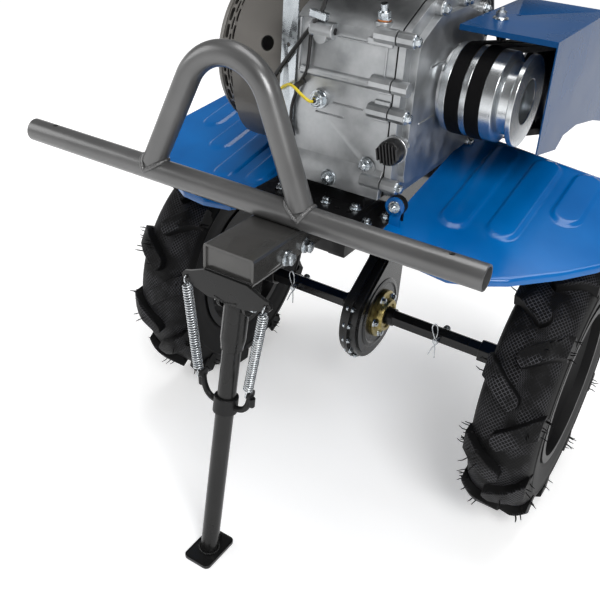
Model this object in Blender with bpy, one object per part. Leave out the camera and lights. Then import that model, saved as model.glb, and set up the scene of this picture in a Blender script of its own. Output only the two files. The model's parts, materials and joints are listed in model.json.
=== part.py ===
# Walk-behind garden tiller on two lugged tyres and a sprung front stand.
# Metres, +Z up. The operator stands at +Y and looks towards -Y, so "left" is +X.
# Shapes are placed from the wheels' centre line: x = 0 midway between the tyres,
# y = 0 at the axle and z = 0 on the ground. The empty "machine" then moves them all
# so that the origin is the bottom centre of the whole machine.

import math

import bmesh
import bpy
from mathutils import Matrix, Vector

# Running gaps
GAP = 0.0003
FIT = 0.0005

# Wheels
TYRE_RADIUS = 0.232
TYRE_WIDTH = 0.100
LUG_HEIGHT = 0.015
LUG_COUNT = 11
LUG_SLANT = -0.75
LUG_TAPER = 0.14
LUG_NOSE = 0.013
LUG_PHASE = 7.8
RIM_SIDES = 20
TRACK = 0.635
RIM_RADIUS = 0.124
RIM_THICKNESS = 0.003
RIM_FLANGE = 0.010
RIM_DISC = 0.005
HUB_RADIUS = 0.030
HUB_PLATE_RADIUS = 0.060
HUB_PLATE_THICKNESS = 0.006
HUB_REACH = 0.205
AXLE_ACROSS = 0.026
AXLE_TIP = 0.030
SLEEVE_ACROSS = 0.036

# Chain case and gearbox
CASE_RADIUS = 0.085
CASE_THICKNESS = 0.038
CASE_SEAM_RADIUS = 0.091
CASE_SEAM_THICKNESS = 0.006
CASE_OFFSET = -0.006
AXLE_FLANGE_RADIUS = 0.043
AXLE_FLANGE_THICKNESS = 0.018
GEARBOX_WIDTH = 0.096
GEARBOX_BOTTOM = 0.285
GEARBOX_FRONT = 0.075
GEARBOX_REAR = 0.320
GEARBOX_TOP = 0.650
GEARBOX_SHOULDER = 0.165
GEARBOX_WALL = 0.009

# Frame, front bracket and bumper
FRAME_OFFSET = -0.028
BOX_WIDTH = 0.080
BOX_HEIGHT = 0.040
BOX_WALL = 0.004
BOX_TOP = 0.5085
BOX_FRONT = -0.3975
BOX_REAR = -0.232
RAIL_DEPTH = 0.054
RAIL_WALL = 0.005
RAIL_FLANGE = 0.026
FRAME_WIDTH = 0.158
FRAME_REAR = 0.200
DECK_THICKNESS = 0.006
DECK_WIDTH = 0.236
DECK_REAR = 0.140
MOUNT_BAR_WIDTH = 0.038
BUMPER_OFFSET = -0.113
BUMPER_LENGTH = 0.772
BUMPER_TUBE = 0.0352
BUMPER_WALL = 0.0028
BUMPER_BORE = 0.060
BUMPER_Y = -0.285
BUMPER_HOLE = 0.008
BUMPER_HOLE_INSET = 0.048
ARCH_SPREAD = 0.2436
ARCH_HEIGHT = 0.190

# Stand
STAND_PLATE_THICKNESS = 0.005
STAND_DROP = 0.042
STAND_SETBACK = 0.0225
CHEEK_THICKNESS = 0.005
CHEEK_RADIUS = 0.017
SLEEVE_RADIUS = 0.018
SLEEVE_LENGTH = 0.075
LEG_RADIUS = 0.0135
LEG_LEAN = 0.063
LEG_SIDES = 14
STAND_BOLT_RADIUS = 0.005
FOOT_LENGTH = 0.070
FOOT_WIDTH = 0.047
FOOT_THICKNESS = 0.006
COLLAR_BELOW = 0.150
COLLAR_HEIGHT = 0.026
COLLAR_WALL = 0.004
EAR_SPREAD = 0.128
ANCHOR_SPREAD = 0.082
EYE_RADIUS = 0.0075
SPRING_RADIUS = 0.0062
SPRING_WIRE = 0.0022
SPRING_CURLS = 14
SPRING_PITCH = 0.0077
CURL_POINTS = 8

# Engine
ENGINE_BOTTOM = 0.540
CRANK_HEIGHT = 0.131
CRANK_Y = -0.050
CASE_FRONT = 0.145
CASE_BACK = 0.125
CASE_LEFT = 0.0790
CASE_RIGHT = -0.0700
GASKET = 0.0012
COVER_THICKNESS = 0.026
CAP_NECK = 0.0115
BOLT_BOSS = 0.0098
SHAFT_RADIUS = 0.0127
DRUM_RADIUS = 0.130
DRUM_WIDTH = 0.112
DRUM_WALL = 0.003
RECOIL_WIDTH = 0.040
RECOIL_RADIUS = 0.119
CYLINDER_TILT = 25.0
CYLINDER_RADIUS = 0.046
FIN_RADIUS = 0.066
FIN_COUNT = 4
FIN_PITCH = 0.016
FIN_THICKNESS = 0.0032
CYLINDER_X = 0.008
TANK_LENGTH = 0.250
TANK_DEPTH = 0.250
TANK_HEIGHT = 0.110
TANK_LIFT = 0.052

# Belt drive
PULLEY_RADIUS = 0.0620
PULLEY_WIDTH = 0.103
GROOVE_PITCH = 0.0275
GROOVE_DEPTH = 0.013
BELT_WIDTH = 0.020
BELT_DEPTH = 0.0105
BELT_PROUD = 0.0012
BELT_TAPER = 0.30
DRIVEN_RADIUS = 0.075
DRIVEN_Y = 0.270
DRIVEN_Z = 0.605
IDLER_RADIUS = 0.016
IDLER_REACH = 0.105
IDLER_LIFT = 0.006
COVER_SHEET = 0.002
COVER_TOP = 0.762
COVER_FRONT = -0.085
COVER_BREAK = 0.165
COVER_REAR = 0.385
COVER_INNER = 0.112
COVER_OUTER = 0.245

# Mudguards
GUARD_SHEET = 0.002
GUARD_SLOPE = 12.0
GUARD_HEIGHT = 0.540
GUARD_FRONT = -0.237
GUARD_FOLD = 0.100
GUARD_REAR = 0.215
GUARD_WIDTH = 0.305
GUARD_CHAMFER = 0.115
GUARD_LIP = 0.010
RIB_COUNT = 3
RIB_WIDTH = 0.042
RIB_RISE = 0.004

# Handlebars and controls
LEVER_BALL = 0.0075
BAR_TUBE = 0.014
BAR_SPREAD = 0.300
GRIP_SPREAD = 0.560
GRIP_LENGTH = 0.120
GRIP_RADIUS = 0.0175
GRIP_Y = 1.010
GRIP_Z = 0.960
CLAMP_ROOM = 0.100

# Colours: linear red, green, blue, then metallic and roughness
PAINT_BLUE = ((0.0, 0.115, 0.455), 0.0, 0.22)
PAINT_GREY = ((0.140, 0.133, 0.122), 0.3, 0.38)
PAINT_DARK = ((0.050, 0.049, 0.046), 0.1, 0.32)
PAINT_BLACK = ((0.012, 0.012, 0.013), 0.0, 0.40)
CAST_SILVER = ((0.52, 0.53, 0.54), 0.85, 0.40)
MACHINED = ((0.62, 0.62, 0.61), 1.0, 0.28)
ZINC = ((0.58, 0.60, 0.62), 1.0, 0.33)
YELLOW_ZINC = ((0.52, 0.45, 0.22), 1.0, 0.35)
RUBBER = ((0.016, 0.016, 0.017), 0.0, 0.75)
PLASTIC = ((0.010, 0.010, 0.011), 0.0, 0.45)
SHROUD_GREY = ((0.155, 0.155, 0.150), 0.1, 0.40)
WIRE_YELLOW = ((0.80, 0.48, 0.01), 0.0, 0.40)
GASKET_BLACK = ((0.02, 0.02, 0.02), 0.0, 0.80)
EXHAUST_GREY = ((0.18, 0.175, 0.17), 0.7, 0.50)

CRANK_Z = ENGINE_BOTTOM + CRANK_HEIGHT
DECK_TOP = BOX_TOP + GAP + DECK_THICKNESS
CASE_X = CASE_OFFSET
STAND_PIVOT_Y = BOX_FRONT + STAND_SETBACK
STAND_PIVOT_Z = BOX_TOP - BOX_HEIGHT - STAND_DROP

materials = {}
scene = bpy.context.scene


# Scene and material basics

def clear_scene():
    for item in list(bpy.data.objects):
        bpy.data.objects.remove(item, do_unlink=True)


def material_for(name, finish):
    colour, metallic, roughness = finish
    made = bpy.data.materials.new(name)
    made.use_nodes = True
    shader = made.node_tree.nodes["Principled BSDF"]
    shader.inputs["Base Color"].default_value = (*colour, 1.0)
    shader.inputs["Metallic"].default_value = metallic
    shader.inputs["Roughness"].default_value = roughness
    return made


def link_mesh(name, mesh):
    made = bpy.data.objects.new(name, mesh)
    scene.collection.objects.link(made)
    return made


# Closed solids. Each returns an object that fuse() later joins or cuts.

def solid_from(bm):
    bmesh.ops.remove_doubles(bm, verts=bm.verts, dist=1e-6)
    bmesh.ops.recalc_face_normals(bm, faces=bm.faces)
    mesh = bpy.data.meshes.new("solid")
    bm.to_mesh(mesh)
    bm.free()
    return link_mesh("solid", mesh)


def block(low, high, bevel=0.0, segments=1):
    bm = bmesh.new()
    bmesh.ops.create_cube(bm, size=1.0)
    size = [b - a for a, b in zip(low, high)]
    middle = [(a + b) / 2 for a, b in zip(low, high)]
    bmesh.ops.scale(bm, vec=size, verts=bm.verts)
    bmesh.ops.translate(bm, vec=middle, verts=bm.verts)
    if bevel:
        bmesh.ops.bevel(bm, geom=bm.edges[:], offset=bevel, segments=segments,
                        affect="EDGES", profile=0.5)
    return solid_from(bm)


def axis_turn(axis):
    if axis == "X":
        return Matrix.Rotation(math.pi / 2, 4, "Y")
    if axis == "Y":
        return Matrix.Rotation(-math.pi / 2, 4, "X")
    return Matrix.Identity(4)


def sides_for(radius):
    """Facets of a round piece: more where it is large enough to show."""
    for limit, sides in ((0.0045, 8), (0.010, 10), (0.016, 12), (0.026, 16), (0.050, 20), (0.090, 24)):
        if radius < limit:
            return sides
    return 32


def turned(profile, axis="X", centre=(0, 0, 0), segments=0):
    """A closed profile of (distance along the axis, radius) points, spun round it."""
    segments = segments or sides_for(max(radius for along, radius in profile))
    bm = bmesh.new()
    verts = [bm.verts.new((max(radius, 0.0), 0, along)) for along, radius in profile]
    edges = [bm.edges.new(pair) for pair in zip(verts, verts[1:] + verts[:1])]
    bmesh.ops.spin(bm, geom=verts + edges, cent=(0, 0, 0), axis=(0, 0, 1),
                   angle=2 * math.pi, steps=segments, use_merge=True)
    bmesh.ops.remove_doubles(bm, verts=bm.verts, dist=1e-6)
    bmesh.ops.dissolve_degenerate(bm, edges=bm.edges, dist=1e-6)
    loose = [edge for edge in bm.edges if not edge.link_faces]
    bmesh.ops.delete(bm, geom=loose, context="EDGES")
    hubs = [vert for vert in bm.verts if math.hypot(vert.co.x, vert.co.y) < 1e-7]
    bmesh.ops.dissolve_verts(bm, verts=hubs)
    bmesh.ops.transform(bm, matrix=Matrix.Translation(centre) @ axis_turn(axis),
                        verts=bm.verts)
    return solid_from(bm)


def round_bar(radius, low, high, axis="X", centre=(0, 0, 0), segments=0):
    profile = [(low, 0), (high, 0), (high, radius), (low, radius)]
    return turned(profile, axis, centre, segments)


def ring_bar(outer, inner, low, high, axis="X", centre=(0, 0, 0), segments=0):
    profile = [(low, inner), (high, inner), (high, outer), (low, outer)]
    return turned(profile, axis, centre, segments)


def hex_bar(across, low, high, axis="X", centre=(0, 0, 0)):
    return round_bar(across / math.sqrt(3), low, high, axis, centre, 6)


def rounded_outline(points, radius, steps=3):
    """Corner points with each corner rounded by an arc of the given radius."""
    outline = []
    count = len(points)
    for index in range(count):
        corner = Vector(points[index])
        before = Vector(points[index - 1]) - corner
        after = Vector(points[(index + 1) % count]) - corner
        angle = before.angle(after)
        reach = min(radius / math.tan(angle / 2), before.length * 0.49, after.length * 0.49)
        start = corner + before.normalized() * reach
        end = corner + after.normalized() * reach
        for step in range(steps + 1):
            t = step / steps
            outline.append(start * (1 - t) ** 2 + corner * (2 * t * (1 - t)) + end * t * t)
    return [tuple(point) for point in outline]


PLANES = {
    "YZ": lambda u, v, w: (w, u, v),
    "XZ": lambda u, v, w: (u, w, v),
    "XY": lambda u, v, w: (u, v, w),
}


def prism(outline, low, high, plane="YZ"):
    """An outline in one plane, drawn out square to it from low to high."""
    place = PLANES[plane]
    bm = bmesh.new()
    near = [bm.verts.new(place(u, v, low)) for u, v in outline]
    far = [bm.verts.new(place(u, v, high)) for u, v in outline]
    bm.faces.new(near)
    bm.faces.new(list(reversed(far)))
    count = len(outline)
    for index in range(count):
        other = (index + 1) % count
        bm.faces.new((near[index], far[index], far[other], near[other]))
    return solid_from(bm)


def swept(points, radius, sides=12, start_turn=0.0):
    """A round bar along points, with flat ends, carried by parallel transport."""
    path = [Vector(point) for point in points]
    bm = bmesh.new()
    count = len(path)
    rings = []
    tangent = (path[1] - path[0]).normalized()
    side = tangent.orthogonal().normalized()
    side.rotate(Matrix.Rotation(start_turn, 3, tangent))
    for index, point in enumerate(path):
        if 0 < index < count - 1:
            new_tangent = (path[index + 1] - path[index - 1]).normalized()
        elif index:
            new_tangent = (path[index] - path[index - 1]).normalized()
        else:
            new_tangent = tangent
        side = (side - new_tangent * side.dot(new_tangent)).normalized()
        other = new_tangent.cross(side)
        ring = []
        for step in range(sides):
            turn = 2 * math.pi * step / sides
            ring.append(bm.verts.new(point + (side * math.cos(turn) + other * math.sin(turn)) * radius))
        rings.append(ring)
    for one, two in zip(rings, rings[1:]):
        for step in range(sides):
            after = (step + 1) % sides
            bm.faces.new((one[step], one[after], two[after], two[step]))
    bm.faces.new(list(reversed(rings[0])))
    bm.faces.new(rings[-1])
    return solid_from(bm)


def bent_path(corners, radius, steps=5):
    """Straight runs joined by arcs that touch both runs."""
    path = [Vector(corners[0])]
    for before, corner, after in zip(corners, corners[1:], corners[2:]):
        corner = Vector(corner)
        back = Vector(before) - corner
        ahead = Vector(after) - corner
        half = back.angle(ahead) / 2
        reach = min(radius / math.tan(half), back.length * 0.49, ahead.length * 0.49)
        real = reach * math.tan(half)
        back.normalize()
        ahead.normalize()
        centre = corner + (back + ahead).normalized() * (real / math.sin(half))
        start = corner + back * reach - centre
        end = corner + ahead * reach - centre
        sweep = start.angle(end)
        for step in range(steps + 1):
            t = step / steps
            blend = (start * math.sin((1 - t) * sweep) + end * math.sin(t * sweep)) / math.sin(sweep)
            path.append(centre + blend)
    path.append(Vector(corners[-1]))
    return path


def join_solids(solids):
    """Solids that don't touch each other, as one operand."""
    bm = bmesh.new()
    for item in solids:
        bm.from_mesh(item.data)
        bpy.data.objects.remove(item, do_unlink=True)
    mesh = bpy.data.meshes.new("group")
    bm.to_mesh(mesh)
    bm.free()
    return link_mesh("group", mesh)


def moved(item, matrix):
    item.data.transform(matrix)
    return item


def about(point, angle, axis):
    centre = Vector(point)
    return Matrix.Translation(centre) @ Matrix.Rotation(angle, 4, axis) @ Matrix.Translation(-centre)


def fuse(name, finish, solids, cuts=(), parent=None, origin=(0, 0, 0), smooth=30):
    """Join the solids, take the cuts away, and place the piece with its own origin."""
    base = solids[0]
    operands = list(solids[1:]) + list(cuts)
    for index, operand in enumerate(operands):
        step = base.modifiers.new("step", "BOOLEAN")
        step.operation = "UNION" if index < len(solids) - 1 else "DIFFERENCE"
        step.solver = "EXACT"
        step.object = operand
    bpy.context.view_layer.update()
    graph = bpy.context.evaluated_depsgraph_get()
    mesh = bpy.data.meshes.new_from_object(base.evaluated_get(graph))
    for operand in [base] + operands:
        bpy.data.objects.remove(operand, do_unlink=True)
    bm = bmesh.new()
    bm.from_mesh(mesh)
    bmesh.ops.remove_doubles(bm, verts=bm.verts, dist=2e-6)
    bmesh.ops.dissolve_degenerate(bm, edges=bm.edges, dist=2e-6)
    bmesh.ops.translate(bm, vec=-Vector(origin), verts=bm.verts)
    bm.to_mesh(mesh)
    bm.free()
    mesh.name = name
    piece = link_mesh(name, mesh)
    for polygon in mesh.polygons:
        polygon.use_smooth = True
    mesh.set_sharp_from_angle(angle=math.radians(smooth))
    mesh.materials.clear()
    mesh.materials.append(material_for(name, finish))
    piece.location = Vector(origin)
    if parent is not None:
        piece.parent = parent
        piece.location = Vector(origin) - Vector(parent["spot"])
    return piece


def pivot(name, spot, parent=None):
    made = bpy.data.objects.new(name, None)
    scene.collection.objects.link(made)
    made["spot"] = tuple(spot)
    if parent is not None:
        made.parent = parent
        made.location = Vector(spot) - Vector(parent["spot"])
    else:
        made.location = Vector(spot)
    return made


# Wheels and axle

def tyre_stations():
    """Section of the carcass as (across, radius, share of the tread's slant)."""
    half = TYRE_WIDTH / 2
    crown = TYRE_RADIUS - LUG_HEIGHT
    bead = (RIM_RADIUS + GAP) / math.cos(math.pi / LUG_COUNT / 4)
    middle = (crown + bead) / 2
    right = [
        (LUG_NOSE, crown, 0.0),
        (half * 0.60, crown, 0.50),
        (half * 0.94, crown - LUG_HEIGHT, 1.0),
        (half, middle, 1.0),
        (half * 0.82, bead, 1.0),
        (half * 0.66, bead, 1.0),
        (half * 0.72, crown - 0.020, 0.80),
    ]
    left = [(-across, radius, share) for across, radius, share in reversed(right)]
    return right + left


def make_tyre(name, parent, wheel_x):
    """Carcass grid whose rings are turned more towards the shoulders, so raised lugs slant."""
    centre = Vector((wheel_x, 0, TYRE_RADIUS))
    stations = tyre_stations()
    steps = LUG_COUNT * 4
    slant = TYRE_WIDTH / 2 / TYRE_RADIUS * LUG_SLANT
    bm = bmesh.new()
    rings = []
    for across, radius, share in stations:
        ring = []
        for step in range(steps):
            turn = 2 * math.pi * step / steps + math.radians(LUG_PHASE) + slant * share
            ring.append(bm.verts.new((across, radius * math.cos(turn), radius * math.sin(turn))))
        rings.append(ring)
    faces = {}
    count = len(rings)
    for index in range(count):
        other = (index + 1) % count
        for step in range(steps):
            after = (step + 1) % steps
            faces[index, step] = bm.faces.new((rings[index][step], rings[other][step],
                                               rings[other][after], rings[index][after]))
    bmesh.ops.recalc_face_normals(bm, faces=bm.faces[:])
    last = count - 1
    for step in range(0, steps, 4):
        raise_lug(bm, [faces[last, step], faces[0, step], faces[1, step]])
        raise_lug(bm, [faces[last, step + 2], faces[last - 1, step + 2], faces[last - 2, step + 2]])
    bmesh.ops.translate(bm, vec=centre, verts=bm.verts)
    return fuse(name, RUBBER, [solid_from(bm)], parent=parent, origin=tuple(centre), smooth=30)


def raise_lug(bm, patch):
    """Lifts a patch of the tread by the lug's height and narrows its top."""
    made = bmesh.ops.extrude_face_region(bm, geom=patch)
    tops = [item for item in made["geom"] if isinstance(item, bmesh.types.BMVert)]
    bmesh.ops.delete(bm, geom=patch, context="FACES")
    middle = sum((vert.co for vert in tops), Vector()) / len(tops)
    for vert in tops:
        side = math.copysign(1.0, middle.x)
        vert.co += (middle - vert.co) * LUG_TAPER
        out = Vector((0, vert.co.y, vert.co.z))
        reach = TYRE_RADIUS if abs(vert.co.x) < TYRE_WIDTH * 0.38 else TYRE_RADIUS - LUG_HEIGHT * 1.1
        vert.co.y, vert.co.z = out.y * reach / out.length, out.z * reach / out.length
        if abs(vert.co.x) > TYRE_WIDTH * 0.38:
            vert.co.x = side * TYRE_WIDTH * 0.495


def rim_half():
    return TYRE_WIDTH / 2 * 0.82 + 0.0030


def disc_place():
    """Distance of the rim's disc from the wheel's middle plane, towards the machine."""
    return rim_half() * 0.30


def make_rim(name, parent, wheel_x, side):
    centre = (wheel_x, 0, TYRE_RADIUS)
    half = rim_half()
    outer = RIM_RADIUS
    inner = RIM_RADIUS - RIM_THICKNESS
    flange = RIM_RADIUS + RIM_FLANGE
    plate = -side * disc_place()
    well = 0.012
    lip = RIM_THICKNESS
    profile = [
        (-half - lip, flange), (-half, flange), (-half, outer), (-half * 0.72, outer), (-half * 0.42, outer - well),
        (half * 0.42, outer - well), (half * 0.72, outer), (half, outer), (half, flange), (half + lip, flange),
        (half + lip, inner), (half * 0.44, inner - well), (plate + RIM_DISC / 2, inner - well),
        (plate + RIM_DISC / 2, HUB_RADIUS), (plate - RIM_DISC / 2, HUB_RADIUS),
        (plate - RIM_DISC / 2, inner - well), (-half * 0.44, inner - well), (-half - lip, inner),
    ]
    solids = [turned(profile, "X", centre, RIM_SIDES)]
    holes = []
    for index in range(4):
        turn = math.radians(45 + 90 * index)
        reach = (HUB_PLATE_RADIUS + inner - well) / 2 + 0.004
        spot = (wheel_x, reach * math.cos(turn), TYRE_RADIUS + reach * math.sin(turn))
        holes.append(round_bar(0.012, plate - 0.01, plate + 0.01, "X", spot, 8))
    return fuse(name, PAINT_BLACK, solids, [join_solids(holes)], parent, centre)


def make_hub(name, parent, wheel_x, side):
    """Plate bolted to the rim's disc, and a hexagon sleeve that slides on the axle."""
    centre = (wheel_x, 0, TYRE_RADIUS)
    plate_x = -side * (disc_place() + RIM_DISC / 2 + GAP)
    ends = sorted((plate_x, plate_x - side * HUB_PLATE_THICKNESS))
    plate = round_bar(HUB_PLATE_RADIUS, ends[0], ends[1], "X", centre)
    start = plate_x - side * HUB_PLATE_THICKNESS / 2
    reach = sorted((start, -side * (wheel_x * side - HUB_REACH)))
    sleeve = hex_bar(SLEEVE_ACROSS, reach[0], reach[1], "X", centre)
    solids = [plate, sleeve]
    bore = hex_bar(AXLE_ACROSS + 2 * FIT, -0.4, 0.4, "X", centre)
    return fuse(name, PAINT_BLACK, solids, [bore], parent, centre)


def make_axle(parent):
    centre = (0, 0, TYRE_RADIUS)
    reach = TRACK / 2 + AXLE_TIP
    bar = hex_bar(AXLE_ACROSS, -reach, reach, "X", centre)
    seat = CASE_THICKNESS / 2 + AXLE_FLANGE_THICKNESS + 0.012
    journal = round_bar(AXLE_ACROSS / math.sqrt(3) + 0.001, CASE_X - seat, CASE_X + seat, "X", centre)
    return fuse("wheel_axle", PAINT_BLACK, [bar, journal], parent=parent, origin=centre)


# Chain case and gearbox

def case_direction():
    top = Vector((GEARBOX_FRONT + 0.045, GEARBOX_BOTTOM + 0.115))
    return top


def neck_outline(radius):
    """Side view of the case: a round lower end and two tangents up to the gearbox."""
    low = Vector((0.0, TYRE_RADIUS))
    high = case_direction()
    along = (high - low).normalized()
    across = Vector((-along.y, along.x))
    start = math.atan2(across.y, across.x)
    points = []
    for step in range(13):
        turn = start + math.pi * step / 12
        points.append((low.x + radius * math.cos(turn), low.y + radius * math.sin(turn)))
    neck = radius * 0.62
    points.append(tuple(low + along * radius * 1.05 - across * neck))
    points.append(tuple(high - across * neck))
    points.append(tuple(high + across * neck))
    points.append(tuple(low + along * radius * 1.05 + across * neck))
    return points


def make_chain_case(parent):
    half = CASE_THICKNESS / 2
    seam = CASE_SEAM_THICKNESS / 2
    body = prism(neck_outline(CASE_RADIUS), CASE_X - half, CASE_X + half)
    ridge = prism(neck_outline(CASE_SEAM_RADIUS), CASE_X - seam, CASE_X + seam)
    bore = round_bar(AXLE_ACROSS / math.sqrt(3) + 0.001 + FIT, -0.1, 0.1, "X", (0, 0, TYRE_RADIUS))
    gear_face = block((-0.2, GEARBOX_FRONT - GAP, 0), (0.2, 1.0, 1.0))
    return fuse("chain_case", PAINT_BLACK, [body, ridge], [bore, gear_face], parent)


def make_axle_flange(name, parent, side):
    """Round bearing housing on the side of the chain case."""
    base = CASE_X + side * (CASE_THICKNESS / 2 + GAP)
    centre = (0, 0, TYRE_RADIUS)
    near, far = base, base + side * AXLE_FLANGE_THICKNESS
    rim = base + side * 0.007
    bore = AXLE_ACROSS / math.sqrt(3) + 0.001 + FIT
    profile = [(near, bore), (near, AXLE_FLANGE_RADIUS), (rim, AXLE_FLANGE_RADIUS),
               (rim + side * 0.003, 0.031), (far, 0.029), (far, bore)]
    return fuse(name, YELLOW_ZINC, [turned(profile, "X", centre)], parent=parent)


def gearbox_outline():
    points = [
        (GEARBOX_FRONT, GEARBOX_BOTTOM + 0.045),
        (GEARBOX_FRONT + 0.035, GEARBOX_BOTTOM),
        (GEARBOX_REAR - 0.050, GEARBOX_BOTTOM + 0.010),
        (GEARBOX_REAR, GEARBOX_BOTTOM + 0.080),
        (GEARBOX_REAR, GEARBOX_TOP),
        (GEARBOX_SHOULDER + 0.040, GEARBOX_TOP),
        (GEARBOX_SHOULDER, BOX_TOP + 0.022),
        (GEARBOX_SHOULDER - 0.014, BOX_TOP),
        (GEARBOX_FRONT, BOX_TOP),
    ]
    return rounded_outline(points, 0.014, 1)


def make_gearbox(parent):
    half = GEARBOX_WIDTH / 2
    body = prism(gearbox_outline(), FRAME_OFFSET - half, FRAME_OFFSET + half)
    solids = [body]
    seam_low = FRAME_OFFSET + half - 0.030
    inner = [(y, z) for y, z in gearbox_outline()]
    middle = Vector((sum(y for y, z in inner) / len(inner), sum(z for y, z in inner) / len(inner)))
    wider = [tuple(middle + (Vector(point) - middle) * 1.035) for point in inner]
    hollow = [tuple(middle + (Vector(point) - middle) * 0.88) for point in inner]
    cavity = prism(hollow, FRAME_OFFSET - half + GEARBOX_WALL, FRAME_OFFSET + half - GEARBOX_WALL)
    seam = prism(wider, seam_low, seam_low + 0.006)
    lift = block((-0.3, 0.0, BOX_TOP - 0.001), (0.3, GEARBOX_SHOULDER - 0.004, 0.9))
    back = block((-0.3, GEARBOX_REAR, hitch_height() - 0.055), (0.3, 0.9, hitch_height() + 0.045))
    hub_x = FRAME_OFFSET + half
    boss = round_bar(0.036, hub_x - 0.002, hub_x + 0.030, "X", (0, DRIVEN_Y, DRIVEN_Z))
    shaft_bore = round_bar(0.0125 + FIT, 0.0, 0.2, "X", (hub_x - 0.02, DRIVEN_Y, DRIVEN_Z))
    trim = fuse("seam", PAINT_BLACK, [seam], [block((-0.3, -0.3, 0), (0.3, GEARBOX_FRONT, 1)), lift, back])
    solids += [trim, boss]
    seat = LEVER_BALL + GAP
    lever_slot = block((FRAME_OFFSET - seat, gear_lever_y() - 0.015, GEARBOX_TOP - 0.045),
                       (FRAME_OFFSET + seat, gear_lever_y() + 0.015, GEARBOX_TOP + 0.05))
    solids += idler_pin_solids() + column_solids()
    cuts = [shaft_bore, cavity, lever_slot]
    return fuse("gearbox", PAINT_BLACK, solids, cuts, parent)


def idler_pin_solids():
    """Cast pad and pin beside the gearbox that carry the idler arm."""
    spot = idler_pivot()
    wall = FRAME_OFFSET + GEARBOX_WIDTH / 2
    pin = round_bar(0.006, wall - 0.002, spot[0] + 0.0075, "X", (0, spot[1], spot[2]))
    stop = round_bar(0.011, wall - 0.002, spot[0] - 0.0063, "X", (0, spot[1], spot[2]))
    return [pin, stop]


def column_solids():
    """Foot and post on top of the gearbox that the handlebars turn on."""
    x, y, z = column_spot()
    foot = block((x - 0.040, y - 0.038, z - 0.004), (x + 0.040, y + 0.026, z + 0.010))
    post = round_bar(0.016, 0.008, 0.034, "Z", (x, y, z))
    return [foot, post]


# Frame, front bracket and bumper

def make_frame(parent):
    """Two rails, a deck plate with two bars under the engine, and the tongue in the bracket."""
    half = FRAME_WIDTH / 2
    low = BOX_TOP - RAIL_DEPTH
    front = BOX_REAR + GAP
    solids = []
    deck_low = BOX_TOP + GAP
    deck = block((FRAME_OFFSET - DECK_WIDTH / 2, front, deck_low),
                 (FRAME_OFFSET + DECK_WIDTH / 2, DECK_REAR, DECK_TOP))
    solids.append(deck)
    for side in (-1, 1):
        web = sorted((FRAME_OFFSET + side * half, FRAME_OFFSET + side * (half - RAIL_WALL)))
        solids.append(block((web[0], front, low), (web[1], FRAME_REAR, deck_low + 0.002)))
        foot = sorted((FRAME_OFFSET + side * half, FRAME_OFFSET + side * (half - RAIL_FLANGE)))
        solids.append(block((foot[0], front, low), (foot[1], FRAME_REAR, low + RAIL_WALL)))
    nose = block((FRAME_OFFSET - half + 0.001, front, low + 0.001),
                 (FRAME_OFFSET + half - 0.001, front + 0.008, deck_low + 0.001))
    solids.append(nose)
    inset = BOX_WALL + GAP
    tongue = block((FRAME_OFFSET - BOX_WIDTH / 2 + inset, BOX_FRONT + 0.050, BOX_TOP - BOX_HEIGHT + inset),
                   (FRAME_OFFSET + BOX_WIDTH / 2 - inset, front + 0.004, BOX_TOP - inset))
    solids.append(tongue)
    bar = MOUNT_BAR_WIDTH / 2
    for y in (CRANK_Y - CASE_FRONT + 0.030, CRANK_Y + CASE_BACK - 0.030):
        solids.append(block((FRAME_OFFSET - DECK_WIDTH / 2 + 0.012, y - bar, DECK_TOP - 0.001),
                            (FRAME_OFFSET + DECK_WIDTH / 2 - 0.012, y + bar, ENGINE_BOTTOM - GAP)))
    cuts = []
    for y in bracket_bolt_places():
        cuts.append(round_bar(0.005 + FIT, -0.1, 0.1, "X", (FRAME_OFFSET, y, BOX_TOP - 0.0285)))
    return fuse("engine_frame", PAINT_BLACK, solids, cuts, parent)


def bracket_bolt_places():
    return (BOX_FRONT + 0.077, BOX_FRONT + 0.1235)


def make_front_bracket(parent):
    """Rectangular tube with a welded end cap set a little inside its front."""
    half = BOX_WIDTH / 2
    low = BOX_TOP - BOX_HEIGHT
    outer = rounded_outline([(FRAME_OFFSET - half, low), (FRAME_OFFSET + half, low),
                             (FRAME_OFFSET + half, BOX_TOP), (FRAME_OFFSET - half, BOX_TOP)], 0.005, 2)
    shell = prism(outer, BOX_FRONT, BOX_REAR - GAP, "XZ")
    inner = block((FRAME_OFFSET - half + BOX_WALL, BOX_FRONT + 0.007, low + BOX_WALL),
                  (FRAME_OFFSET + half - BOX_WALL, 0.5, BOX_TOP - BOX_WALL))
    recess = block((FRAME_OFFSET - half + BOX_WALL, BOX_FRONT - 0.01, low + BOX_WALL),
                   (FRAME_OFFSET + half - BOX_WALL, BOX_FRONT + 0.003, BOX_TOP - BOX_WALL))
    cuts = [inner, recess]
    for y in bracket_bolt_places():
        cuts.append(round_bar(0.005 + FIT, -0.1, 0.1, "X", (FRAME_OFFSET, y, BOX_TOP - 0.0285)))
    return fuse("front_bracket", PAINT_DARK, [shell], cuts, parent)


def hex_bolt(name, parent, spot, grip_low, grip_high, radius, axis="X", finish=ZINC):
    """Bolt with its head at the high end of the grip and its nut at the low end."""
    across = radius * 3.4
    high = grip_high + GAP
    low = grip_low - GAP
    solids = [
        round_bar(radius, low - radius * 2.2, high + radius * 0.4, axis, spot),
        hex_bar(across, high, high + radius * 1.4, axis, spot),
        hex_bar(across, low - radius * 1.6, low, axis, spot),
    ]
    return fuse(name, finish, solids, parent=parent, origin=spot)


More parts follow.
